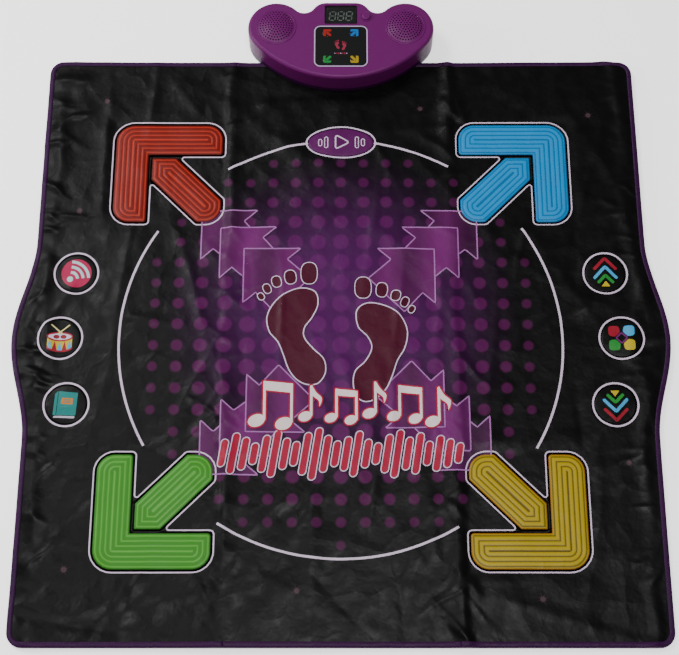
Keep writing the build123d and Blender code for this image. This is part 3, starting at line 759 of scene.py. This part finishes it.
def stitches(side):
    # short threads along the tape, each a low six-sided bead
    path, tangent, inward = edgeFrame(tape["stitchPitch"])
    keep = panelOf(path[:, 0]) == side
    at = path[keep] + inward[keep] * tape["stitchIn"]
    along = np.array([-0.5, -0.3, 0.3, 0.5]) * tape["stitchLength"]
    girth = np.array([0.05, 0.38, 0.38, 0.05])[:, None]
    around = np.linspace(0, 2 * math.pi, 6, endpoint=False)
    flat = (
        at[:, None, None, :]
        + tangent[keep][:, None, None, :] * along[None, :, None, None]
        + inward[keep][:, None, None, :] * (girth * np.cos(around))[None, :, :, None]
    )
    base = mat["coverTop"] + tape["stitchRise"] + lay(at[:, 0], at[:, 1])
    z = base[:, None, None] + (girth * np.sin(around))[None]
    caps = np.array([[0, 1, 2, 3], [3, 4, 5, 0]])
    bead = np.vstack([gridFaces(4, 6, True), caps[:, ::-1], caps + 18])
    faces = (bead[None] + 24 * np.arange(len(at))[:, None, None]).reshape(-1, 4)
    verts = onMat(flat.reshape(-1, 2), z.ravel())
    obj = newMesh(f"{sideNames[side]}Stitches", verts, faces, [cloth["thread"]])
    carry(obj, side)


for side in (-1, 0, 1):
    fabricPanel(side)
bindingPieces()
print("cover, backing and binding made")


pad = {
    "bottom": 4.6, "edge": 6.4, "crown": 1.4, "first": 3.7, "pitch": 6.9, "weld": 0.45, "line": 0.95,
    "step": 1.15, "roundEdge": 0.3, "roundCrown": 0.9,
}


def mitred(flat, d):
    # the head's lines turn square at its inner corner: there the distance is the longer of the two steps
    b = arrow["size"] / 2 - arrow["bar"]
    stepX, stepY = -b - flat[:, 0], flat[:, 1] - b
    corner = (stepX > 0) & (stepY > 0)
    return np.where(corner, np.minimum(d, np.maximum(stepX, stepY)), d)


def quilted(colourName, part, loop):
    # a cushion that rises from its edge, welded along lines that repeat at even distances d from the edge:
    # z = edge + crown * (1 - exp(-d / 3)) - weld * bell(distance from the nearest line)
    flat, tris = filled(loop, pad["step"])
    d = reach(flat, loop)
    d = mitred(flat, d) if part == "head" else d
    k = np.clip(np.round((d - pad["first"]) / pad["pitch"]), 0, 3)
    near = np.exp(-(((d - pad["first"] - k * pad["pitch"]) / pad["line"]) ** 2))
    flat = onArrow(flat, colourName)
    x, y = flat.T
    dents = 0.14 * np.sin(x / 9.0 + y / 17.0) + 0.1 * np.sin(y / 6.0 - x / 21.0)
    rise = lay(x, y) + pad["crown"] * (1 - np.exp(-d / 3.0))
    z = pad["edge"] + rise + (dents - pad["weld"] * near) * smooth(0, 3, d)
    n = len(flat)
    rim = np.arange(len(resampled(loop, pad["step"], True)))
    after = np.roll(rim, -1)
    walls = np.vstack([np.column_stack([rim + n, after + n, after]), np.column_stack([rim + n, after, rim])])
    verts = np.vstack([onMat(flat, z), onMat(flat, pad["bottom"])])
    faces = np.vstack([tris, tris[:, ::-1] + n, walls])
    obj = newMesh(f"{colourName}Arrow{part.title()}", verts, faces, [cloth[colourName + "Pad"]])
    setTone(obj, np.concatenate([near, np.zeros(n)]))
    # painted shade: the top's outer 2.6 mm and the walls take the darker rim colour
    setTone(obj, np.concatenate([1 - smooth(0.4, 2.6, d), np.ones(n)]), "rim")
    return obj


def padTop(x0, y0, rx, ry):
    # the height of a round pad's crown: edge + crown * (1 - s^6), s from 0 at the middle to 1 at the rim
    def height(x, y):
        s = np.sqrt(((x - x0) / rx) ** 2 + ((y - y0) / ry) ** 2)
        return pad["edge"] - pad["roundEdge"] + pad["roundCrown"] * (1 - np.clip(s, 0, 1) ** 6) + lay(x, y)
    return height


def roundPad(name, x0, y0, rx, ry, material):
    # a low cushion in rings
    rings, around = 16, 48
    s = np.linspace(0.02, 1, rings)
    a = np.linspace(0, 2 * math.pi, around, endpoint=False)
    flat = np.column_stack([
        (x0 + rx * s[:, None] * np.cos(a)).ravel(), (y0 + ry * s[:, None] * np.sin(a)).ravel()
    ])
    crown = np.repeat(pad["roundCrown"] * (1 - s**6), around)
    z = pad["edge"] - pad["roundEdge"] + crown + lay(flat[:, 0], flat[:, 1])
    n = len(flat)
    verts = np.vstack([onMat(flat, z), onMat(flat[-around:], pad["bottom"])])
    grid = gridFaces(rings + 1, around, True)[:, ::-1]
    caps = [list(range(around)), list(range(n, n + around))[::-1]]
    return newMesh(name, verts, grid.tolist() + caps, [material])


for colourName in arrowTurn:
    for part, loop in (("head", headLoop()), ("shaft", tailLoop())):
        obj = quilted(colourName, part, loop)
        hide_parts(f"{colourName}_arrow_{part}")
        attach(obj, f"{colourName}_arrow_pad")
for side, row, px, py in iconPlaces:
    name = f"{sideNames[side]}{row.title()}IconPad"
    obj = roundPad(name, px, py, icon["radius"], icon["radius"], cloth["cover"])
    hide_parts(f"{sideNames[side]}_{row}_icon_pad")
    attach(obj, f"{sideNames[side]}_{row}_icon")
obj = roundPad("startPad", 0, startPad["y"], startPad["rx"], startPad["ry"], cloth["startPurple"])
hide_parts("start_pad")
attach(obj, "start_pad")
print("pads made")


def put(parts, shape, ink, lift, tone=0.0):
    # adds a flat shape in one ink, lifted a little above the fabric
    verts, tris = shape
    parts.append((verts, np.asarray(tris), ink, lift, np.broadcast_to(tone, len(verts))))


def area(parts, loop, step, ink, lift):
    put(parts, filled(leftTurning(loop), step), ink, lift)


def line(parts, path, width, step, ink, lift, close=True, tone=0.0):
    put(parts, stroke(leftTurning(path) if close else path, width, close, step), ink, lift, tone)


def makePrint(name, parts, height, keep=None):
    # the gathered shapes as one mesh that lies on a height function, its inks as material slots
    verts, faces, which, tones, lifts, count = [], [], [], [], [], 0
    inks = sorted({part[2] for part in parts})
    for v, t, ink, lift, tone in parts:
        t = t[keep(v[t].mean(1))] if keep else t
        if not len(t):
            continue
        used = np.unique(t)
        again = np.zeros(len(v), int)
        again[used] = np.arange(len(used))
        verts.append(v[used])
        lifts.append(np.full(len(used), lift))
        tones.append(tone[used])
        faces.append(again[t] + count)
        which.append(np.full(len(t), inks.index(ink)))
        count += len(used)
    flat = np.vstack(verts)
    z = height(flat[:, 0], flat[:, 1]) + np.concatenate(lifts)
    obj = newMesh(name, onMat(flat, z), np.vstack(faces), [cloth[ink] for ink in inks], np.concatenate(which))
    setTone(obj, np.concatenate(tones))
    return obj


art = []

# flag ribbons: three nested swallow-tailed corners in each quarter, drawn at upper left
ribbons = [
    {"at": (-204, 193), "right": 82, "down": 77, "inner": [(78, -34), (38, -58), (35, -75)], "tone": 0.25},
    {"at": (-176, 166), "right": 82, "down": 80, "inner": [(78, -34), (38, -58), (35, -78)], "tone": 0.75},
    {"at": (-141, 132), "right": 83, "down": 84, "inner": [(96, -46), (45, -98)], "tone": 0.55},
]
ribbonTail = (20, 16)
for *flip, shiftX, shiftY in ((1, 1, 0, -1.5), (-1, 1, -5, -2), (1, -1, 8, -14), (-1, -1, 4, -8)):
    for layer, r in enumerate(ribbons):
        # a swallow-tailed flag to the right, a diagonal inner edge, and a swallow-tailed flag hanging down
        x, y = r["at"]
        right, down = x + r["right"], y - r["down"]
        loop = np.array([
            (x, y), (right, y + 1), (right - ribbonTail[0], y - ribbonTail[1]),
            *[(x + dx, y + dy) for dx, dy in r["inner"]], (x + 18, down + ribbonTail[1]), (x, down),
        ], float)
        loop = leftTurning(loop * flip + [shiftX, shiftY])
        verts, tris = filled(loop, 2.8)
        shade = r["tone"] + 0.25 * np.sin(verts[:, 0] / 11.0 + layer)
        put(art, (verts, tris), "ribbon", 0.34 + 0.2 * layer, np.clip(shade, 0, 1))
        line(art, loop, 2.0, 3.0, "lilac", 0.46 + 0.2 * layer)

# footprints: soles as smooth curves and five toes each, a toe's numbers its place, its radii and its turn
soles = {
    -1: [(-57, 69), (-37, 63), (-33, 44), (-41, 24), (-52, 8), (-52, -7), (-39, -24), (-24, -40),
         (-22, -60), (-32, -75), (-48, -77), (-63, -69), (-74, -54), (-82, -32), (-90, -13), (-102, 2),
         (-106, 24), (-97, 45), (-80, 61)],
    1: [(45, 46), (70, 39), (87, 24), (95, 2), (91, -22), (80, -42), (72, -66), (62, -86), (44, -101),
        (27, -100), (18, -82), (20, -58), (35, -42), (44, -22), (38, -5), (25, 9), (22, 31), (30, 42)],
}
toes = {
    -1: [(-46, 92, 12, 17, 0), (-73, 86, 8.5, 11, 8), (-93, 79, 7, 8.8, 14), (-106.5, 68, 5.6, 7.6, 24),
         (-115, 56, 4.6, 5.8, 32)],
    1: [(32, 69, 12, 16.5, 0), (59, 66, 8.3, 11.3, -6), (79, 57, 7, 8.2, -12), (92, 47, 5.6, 8, -24),
        (101.5, 36, 4.6, 6, -30)],
}


def squarish(values):
    # a circle's coordinates pushed outwards a little
    return np.sign(values) * np.abs(values) ** 0.8


for sole in soles.values():
    area(art, curveThrough(sole), 2.6, "foot", 0.9)
    line(art, curveThrough(sole), 1.8, 3.0, "white", 1.0)
for x, y, rx, ry, turn in toes[-1] + toes[1]:
    a = np.linspace(0, 2 * math.pi, 32, endpoint=False)
    loop = spun(np.column_stack([rx * squarish(np.cos(a)), ry * squarish(np.sin(a))]), turn) + [x, y]
    area(art, loop, 2.6, "foot", 0.9)
    line(art, loop, 1.3, 1.4, "white", 1.0)

# the big ring, broken where the arrows and the start pad stand
bigRing = {"radius": 316.0, "y": -9.0, "line": 3.4}
for start, end in ((147.8, 209.9), (329.3, 393.1), (59.7, 81.0), (99.0, 122.0), (237.7, 300.5)):
    path = arcPath(0, bigRing["y"], bigRing["radius"], bigRing["radius"], start, end, 60)
    line(art, path, bigRing["line"], 2.5, "white", 0.45, close=False)

# outlines round the pads
for colourName in arrowTurn:
    line(art, onArrow(arrowOutline(arrow["lineOut"]), colourName), arrow["line"], 2.2, "white", 0.42)
for side, row, px, py in iconPlaces:
    line(art, ring(px, py, icon["ring"], bits=64), icon["line"], 2.2, "white", 0.38)
rx, ry = (startPad[key] + startPad["ring"] for key in ("rx", "ry"))
outline = ring(0, startPad["y"], rx, ry, bits=64)
line(art, outline, startPad["line"], 2.2, "white", 0.5)

# small soft stars: a pale middle that fades out, and eight faint rays
star = {
    "places": [(-354, 374), (-385, 192), (373, 350), (120, 362), (398, -191), (270, -379), (-59, -368), (-373, -339)],
    "halo": 4.6, "bits": 20, "rays": (13.0, 10.0), "firstRay": 22,
}
for x, y in star["places"]:
    rim = np.arange(1, star["bits"] + 1)
    wheel = np.vstack([[(x, y)], ring(x, y, star["halo"], bits=star["bits"])])
    spokes = np.column_stack([np.zeros(len(rim), int), rim, np.roll(rim, -1)])
    put(art, (wheel, spokes), "star", 0.3, np.r_[0.9, np.zeros(len(rim))])
    for k in range(8):
        ray = spun([(0.0, -0.5), (star["rays"][k % 2], 0.0), (0.0, 0.5)], star["firstRay"] + 45 * k) + [x, y]
        put(art, (ray, [[0, 1, 2]]), "star", 0.34, np.array([0.4, 0.0, 0.4]))


def note(x, y, size, isDouble):
    # a generic music note: a leaning oval head, a stem, and a flag or a beam to a second note
    stemX, top = x + 9.6 * size, y + 52 * size
    loops = [ring(x, y, 11 * size, 8 * size, turn=22, bits=28), rect(stemX - 1.8, y, stemX + 1.8, top)]
    if isDouble:
        farX = stemX + 34 * size
        loops.append(ring(x + 34 * size, y - 4 * size, 11 * size, 8 * size, turn=22, bits=28))
        loops.append(rect(farX - 1.8, y - 4, farX + 1.8, top - 4))
        near, far = stemX - 1.8, farX + 1.8
        loops.append([(near, top - 12 * size), (far, top - 16 * size), (far, top - 4), (near, top)])
    else:
        bends = ((0, 0), (8, 12), (17, 22), (13, 36), (12, 26), (0, 15))
        loops.append(curveThrough([(stemX + dx * size, top - dy * size) for dx, dy in bends]))
    return loops


titleNotes = [
    (-118, -130, 1.12, True), (-50, -124, 0.88, False), (-14, -126, 0.82, True),
    (40, -120, 0.9, False), (74, -124, 0.88, True), (128, -132, 0.98, False),
]
for spot in titleNotes:
    for k, loop in enumerate(note(*spot)):
        line(art, loop, 4.4, 2.0, "titleRed", 1.15 + 0.02 * k)
    for k, loop in enumerate(note(*spot)):
        area(art, loop, 2.6, "titleWhite", 1.3 + 0.03 * k)

# under them a leaning row of level bars, red with a pale edge
level = {"y": -178, "from": -163, "to": 163, "pitch": 14.2, "wide": 9.2, "lean": 0.16}
heights = [38, 58, 46, 30, 52, 66, 44, 34, 60, 74, 52, 36, 48, 64, 40, 30, 54, 68, 46, 58, 34, 50, 40, 28]
for x, tall in zip(np.arange(level["from"], level["to"] + 1, level["pitch"]), heights):
    w, h = level["wide"] / 2, tall / 2
    bar = rounded(rect(-w, -h, w, h), w * 0.96)
    bar = np.column_stack([bar[:, 0] + level["lean"] * bar[:, 1] + x, bar[:, 1] + level["y"]])
    line(art, bar, 3.0, 2.0, "white", 1.15)
    area(art, bar, 2.6, "titleRed", 1.3)

for side in (-1, 1):
    obj = makePrint(f"{sideNames[side]}Print", art, lambda x, y: mat["coverTop"] + lay(x, y),
                    lambda centre: centre[:, 0] * side > 0)
    carry(obj, side)
print("prints made")


# small pictures on the round pads, in millimetres from each pad's middle
def chevrons(s):
    # three round-ended arrows of road-sign kind, one inside the other, and a small triangle; s is 1 for up
    parts = []
    for tipY, dx, dy, ink in (
        (23.5, 15.0, 16.0, "iconRed"), (10.5, 15.5, 17.0, "iconSky"), (-3.0, 10.0, 10.5, "iconGreen"),
    ):
        path = rounded([(-dx, s * (tipY - dy)), (0, s * tipY), (dx, s * (tipY - dy))], 1.2, close=False)
        line(parts, path, 4.6, 1.2, ink, 0.16, close=False)
        for end in (path[0], path[-1]):
            area(parts, ring(*end, 2.3, bits=14), 0, ink, 0.19)
    area(parts, [(-6.5, -s * 20.5), (6.5, -s * 20.5), (0, -s * 11.5)], 2.4, "iconYellow", 0.16)
    return parts


def soundArcs():
    # a crimson disc with a dot and three arcs of sound
    parts = []
    area(parts, ring(0, 0, 22, bits=48), 3.0, "iconRose", 0.12)
    area(parts, ring(-9, -9, 4.6, bits=24), 2.0, "iconPale", 0.2)
    for r in (11.0, 19.0, 27.0):
        line(parts, arcPath(-9, -9, r, r, 4, 86, 20), 4.2, 1.8, "iconPale", 0.2, close=False)
    return parts


def drum():
    # a small drum: white skin with two beaters on it, a yellow shell with a zigzag of red and blue
    # points, red hoops and crossed sticks
    parts = []
    skinY, footY, rx, ry = 2.0, -14.0, 17.5, 6.0
    hoop = arcPath(0, footY, rx, ry, 180, 360, 30)
    area(parts, np.vstack([hoop, [(rx, skinY), (-rx, skinY)]]), 2.4, "iconYellow", 0.12)
    for k in range(5):
        x = -rx + 3.5 + 7.0 * k
        sag = ry * math.sqrt(1 - (x / rx) ** 2)
        point = [(x - 3.5, footY + 1 - sag), (x + 3.5, footY + 1 - sag), (x, skinY - 1 - sag)]
        area(parts, point, 2.4, "iconRed" if k % 2 else "iconSky", 0.16)
    line(parts, hoop, 2.6, 1.6, "iconRed", 0.2, close=False)
    area(parts, ring(0, skinY, rx - 0.6, ry, bits=40), 2.4, "white", 0.22)
    line(parts, ring(0, skinY, rx, ry, bits=40), 2.2, 1.6, "iconRed", 0.26)
    for s in (-1, 1):
        line(parts, np.array([(s * 13.0, 20.0), (-s * 3.5, 6.0)]), 1.9, 2.0, "iconCream", 0.32, close=False)
        head = ring(s * 5.0, skinY - 0.2, 4.0, 2.6, bits=18)
        area(parts, head, 2.0, "iconRed", 0.36)
        line(parts, head, 0.8, 1.6, "cover", 0.4)
    return parts


def songBook():
    # a closed book leaning a little: teal cover with a dark spine line, a ruled orange label, and a
    # thin edge of pages below
    parts = []
    for corners, ink, lift in (
        ([(-16, -20), (14, -19.5), (14, -16.5), (-15, -17.5)], "white", 0.12),
        ([(-17, -16.5), (15, -15.5), (15, 18), (-13, 19), (-17, 15)], "iconTeal", 0.18),
        (rect(-12.8, -16.4, -12.0, 19), "cover", 0.22),
        (rect(-7, 0.5, 9, 9.5), "iconOrange", 0.24),
        (rect(-4.8, 6.6, 7.0, 7.6), "iconTeal", 0.28),
        (rect(-4.8, 4.5, 7.0, 5.5), "iconTeal", 0.28),
        (rect(-4.8, 2.4, 7.0, 3.4), "iconTeal", 0.28),
        ([(-15, -19.0), (14, -18.4), (14, -17.9), (-15, -18.5)], "iconTeal", 0.16),
    ):
        area(parts, spun(corners, -3.0), 2.4, ink, lift)
    return parts


def fourBlobs():
    # four rounded squares round a clear diamond, with a violet diamond outlined inside it
    parts = []
    line(parts, rounded([(-8.0, 0), (0, -8.0), (8.0, 0), (0, 8.0)], 1.0), 2.4, 1.6, "ribbon", 0.14, tone=1.0)
    square = rounded([(2.0, 9.0), (9.0, 2.0), (18.5, 3.5), (18.5, 18.5), (3.5, 18.5)], [1.5, 1.5, 4, 4, 4])
    for sx, sy, ink in ((-1, 1, "iconRed"), (1, 1, "iconSky"), (-1, -1, "iconGreen"), (1, -1, "iconYellow")):
        area(parts, square * [sx, sy], 2.4, ink, 0.16)
    return parts


pictures = [soundArcs, drum, songBook, lambda: chevrons(1), fourBlobs, lambda: chevrons(-1)]
for (side, row, px, py), picture in zip(iconPlaces, pictures):
    parts = [(v + [px, py], t, ink, lift, tone) for v, t, ink, lift, tone in picture()]
    top = padTop(px, py, icon["radius"], icon["radius"])
    obj = makePrint(f"{sideNames[side]}{row.title()}Picture", parts, top)
    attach(obj, f"{sideNames[side]}_{row}_icon")

# the start pad's sign: a play triangle between two pairs of bars
parts = []
y0 = startPad["y"]
line(parts, rounded([(-8, y0 - 12), (13, y0), (-8, y0 + 12)], 2.2), 2.2, 1.6, "white", 0.2)
for x in (-31, -22, 24, 33):
    tall = 9 if abs(x) < 28 else 5.5
    line(parts, rounded(rect(x - 2.4, y0 - tall, x + 2.4, y0 + tall), 2.0), 1.5, 1.4, "white", 0.2)
obj = makePrint("startSign", parts, padTop(0, y0, startPad["rx"], startPad["ry"]))
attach(obj, "start_pad")
print("pictures made")


def circuitBoard():
    # solder-masked glass epoxy: green lacquer over a faint cloth weave
    material, add, feed = newMaterial("solderMask", "#1d5a34", 0.32, IOR=1.52)
    look = {"Scale": 900.0, "Color1": colour("#1d5a34"), "Color2": colour("#216339")}
    feed(Base_Color=add("TexChecker", look, Vector=add("TexCoord", out="Object")))
    return material


def nickelSteel(name, hexCode, roughness):
    # rolled and nickel-plated steel: bright, with fine drawn lines along x
    material, add, feed = newMaterial(name, hexCode, roughness, Metallic=1.0)
    drawn = add("Mapping", {"Scale": (60.0, 1600.0, 1600.0)}, Vector=add("TexCoord", out="Object"))
    grain = add("TexNoise", {"Scale": 1.0, "Detail": 2.0}, Vector=drawn)
    feed(Roughness=mapped(add, grain, 0.0, 1.0, roughness - 0.08, roughness + 0.12))
    return material


def overlayFilm():
    # a printed polyester label: matt black with a fine tooth
    material, add, feed = newMaterial("overlayPolyester", "#070908", 0.42, Specular_IOR_Level=0.18)
    tooth = add("TexNoise", {"Scale": 2500.0, "Detail": 1.0}, Vector=add("TexCoord", out="Object"))
    feed(Normal=bumped(add, 0.12, 0.0001, tooth))
    return material


def cloudySurface(name, hexCode, roughness, scale, detail, low, high, **shader):
    # an even surface whose gloss drifts between two roughnesses over faint clouds
    material, add, feed = newMaterial(name, hexCode, roughness, **shader)
    cloud = add("TexNoise", {"Scale": scale, "Detail": detail}, Vector=add("TexCoord", out="Object"))
    feed(Roughness=mapped(add, cloud, 0.0, 1.0, low, high))
    return material


# the console keeps its CAD solids; each takes its own finish by the record's slot
plastic = {key: mouldedPlastic(*look) for key, *look in (
    ("purple_plastic", "purpleAbs", "#55084f", 0.42),
    ("dark_purple_plastic", "darkPurpleAbs", "#2c0630", 0.42),
    ("rubber", "blackRubber", "#151515", 0.8, 0.5), ("component", "blackEpoxy", "#161616", 0.5),
    ("cell", "cellSleeve", "#2a6b3a", 0.35), ("cone_paper", "conePaper", "#1d1b1a", 0.85, 0.6),
    ("foam", "polyFoam", "#6d6d70", 0.9, 0.8), ("switch_film", "switchFilm", "#9aa0a2", 0.3, 0.05),
    ("display", "displayHousing", "#101211", 0.35, 0.1),
)}
plastic["circuit_board"] = circuitBoard()
plastic["contact"] = nickelSteel("nickelContact", "#c9c6bd", 0.3)
plastic["steel"] = nickelSteel("zincScrew", "#b8b8b6", 0.35)
plastic["overlay_film"] = overlayFilm()
plastic["clear_window"] = cloudySurface(
    "clearAcrylic", "#b9bfbc", 0.03, 200.0, 1.0, 0.0, 0.04, IOR=1.49, Transmission_Weight=1.0
)
for key, hexCode in (("red", "#2a0705"), ("blue", "#06182c"), ("green", "#062210"), ("yellow", "#2a2205")):
    plastic[f"{key}_lens"] = cloudySurface(
        f"{key}Lens", hexCode, 0.22, 350.0, 1.0, 0.15, 0.3, IOR=1.49, Transmission_Weight=0.25
    )
fabricSlots = {
    "coated_fabric": cloth["cover"], "backing": cloth["under"], "purple_tape": cloth["tape"],
    "purple_pad": cloth["startPurple"], **{f"{key}_pad": cloth[f"{key}Pad"] for key in arrowTurn},
}
for part in frame["record"]["subparts"]:
    node = frame["nodes"][part["node"]]
    node.data.materials.clear()
    node.data.materials.append(plastic.get(part["material_slot"]) or fabricSlots[part["material_slot"]])
print("console finished in", len(plastic), "finishes")


def onFace(points):
    # places measured in the frame's own millimetres, as the mat millimetres that onMat takes
    return np.asarray(points, float) - [0, mat["y"]]


def consoleSign(name, parts, top):
    # printed shapes laid flat on one of the console's faces
    obj = makePrint(name, parts, lambda x, y: np.full(np.shape(x), top))
    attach(obj, "mat_and_console")


faceLow, faceHigh = edges("control_overlay")
faceMidY = ((faceLow + faceHigh) / 2)[1]
face = {
    "border": 1.9, "inset": 1.4, "corner": 8.4,
    "footScale": 0.085, "footUp": 1.5, "barsDown": 12.5, "arrowScale": 0.076,
}
signs = []
frameLoop = rounded(rect(*(faceLow[:2] + face["inset"]), *(faceHigh[:2] - face["inset"])), face["corner"])
line(signs, onFace(frameLoop), face["border"], 1.2, "paleLilac", 0.06)
for side in (-1, 1):
    scale, up = face["footScale"], faceMidY + face["footUp"]
    area(signs, onFace(curveThrough(soles[side], 4) * scale + [0, up]), 1.2, "signPink", 0.06)
    for x, y, rx, ry, turn in toes[side]:
        toe = ring(x * scale, y * scale + up, rx * scale, ry * scale, bits=12)
        area(signs, onFace(toe), 0, "signPink", 0.06)
for x, tall in zip(np.arange(-9, 10, 3.0), (1.2, 2.2, 3.0, 1.8, 2.6, 3.2, 1.4)):
    y = faceMidY - face["barsDown"]
    bar = rect(x - 0.8, y - tall / 2, x + 0.8, y + tall / 2)
    area(signs, onFace(bar), 0, "signPink" if tall > 2 else "paleLilac", 0.06)
consoleSign("consoleSigns", signs, faceHigh[2])

# a coloured arrow on each lamp, pointing out to its own corner
for colourName in arrowTurn:
    lensLow, lensHigh = edges(f"{colourName}_indicator")
    glyph = []
    for loop in (headLoop(), tailLoop()):
        small = spun(loop * face["arrowScale"], arrowTurn[colourName]) + (lensLow + lensHigh)[:2] / 2
        area(glyph, onFace(small), 0, f"{colourName}Sign", 0.05)
    consoleSign(f"{colourName}LampArrow", glyph, lensHigh[2])

# three seven-segment figures
screenLow, screenHigh = edges("display_module")
digit = {"wide": 8.6, "tall": 15.0, "bar": 1.9, "pitch": 12.6, "lean": 0.12}
w, h, b = digit["wide"] / 2, digit["tall"] / 2, digit["bar"] / 2
beam = np.array([(-w + 1.4, 0), (-w + 2.2, b), (w - 2.2, b), (w - 1.4, 0), (w - 2.2, -b), (-w + 2.2, -b)])
post = np.array([(0, h - 0.5), (b, h - 1.4), (b, 1.4), (0, 0.5), (-b, 1.4), (-b, h - 1.4)])
segments = [beam + [0, h], beam, beam - [0, h], post + [-w, 0], post + [w, 0], post - [w, h], post + [w, -h]]
digits = []
for k in (-1, 0, 1):
    for bar in segments:
        leaning = np.column_stack([bar[:, 0] + digit["lean"] * bar[:, 1] + k * digit["pitch"], bar[:, 1]])
        area(digits, onFace(leaning + (screenLow + screenHigh)[:2] / 2), 0, "digitGrey", 0.05)
consoleSign("displayDigits", digits, screenHigh[2])
print("console signs made")

# a matt painted floor, lit a little from within so that it stays near white
stageFloor = {"half": 6.0, "drop": -0.0006}
paleFloor = cloudySurface("paleFloorPaint", "#f8f8f7", 0.7, 3.0, 2.0, 0.65, 0.8, Emission_Strength=0.9,
                          Emission_Color=colour("#ffffff"))
w = stageFloor["half"]
corners = np.column_stack([rect(-w, -w, w, w), np.full(4, stageFloor["drop"])])
newMesh("floor", corners, [(0, 1, 2, 3)], [paleFloor], isSmooth=False)

studio = {
    "key": {"at": (-1.45, 1.25, 2.4), "size": 0.9, "power": 54},
    "rake": {"at": (-2.0, 0.5, 0.75), "size": 0.6, "power": 28},
    "over": {"at": (0.1, -0.5, 3.3), "size": 1.0, "power": 72},
    "aim": (0, -0.04, 0),
    "world": 0.3,
}


def place(name, data, at, aim):
    # a lamp or a camera at a place, turned towards another
    obj = bpy.data.objects.new(name, data)
    bpy.context.collection.objects.link(obj)
    obj.location = at
    obj.rotation_euler = (Vector(aim) - Vector(at)).to_track_quat("-Z", "Y").to_euler()
    return obj


for name in ("key", "rake", "over"):
    lamp = bpy.data.lights.new(name, "AREA")
    lamp.energy, lamp.size = studio[name]["power"], studio[name]["size"]
    place(name, lamp, studio[name]["at"], studio["aim"])
world = bpy.data.worlds.new("softWorld")
world.use_nodes = True
world.node_tree.nodes["Background"].inputs["Color"].default_value = (1, 1, 1, 1)
world.node_tree.nodes["Background"].inputs["Strength"].default_value = studio["world"]
bpy.context.scene.world = world

view = {"from": (0, -0.7575, 1.949), "to": (0, -0.0315, 0.006), "lens": 76.9, "shiftX": -0.002}
camera = place("camera", bpy.data.cameras.new("camera"), view["from"], view["to"])
camera.data.lens = view["lens"]
camera.data.shift_x = view["shiftX"]
bpy.context.scene.camera = camera

print("scene ready")
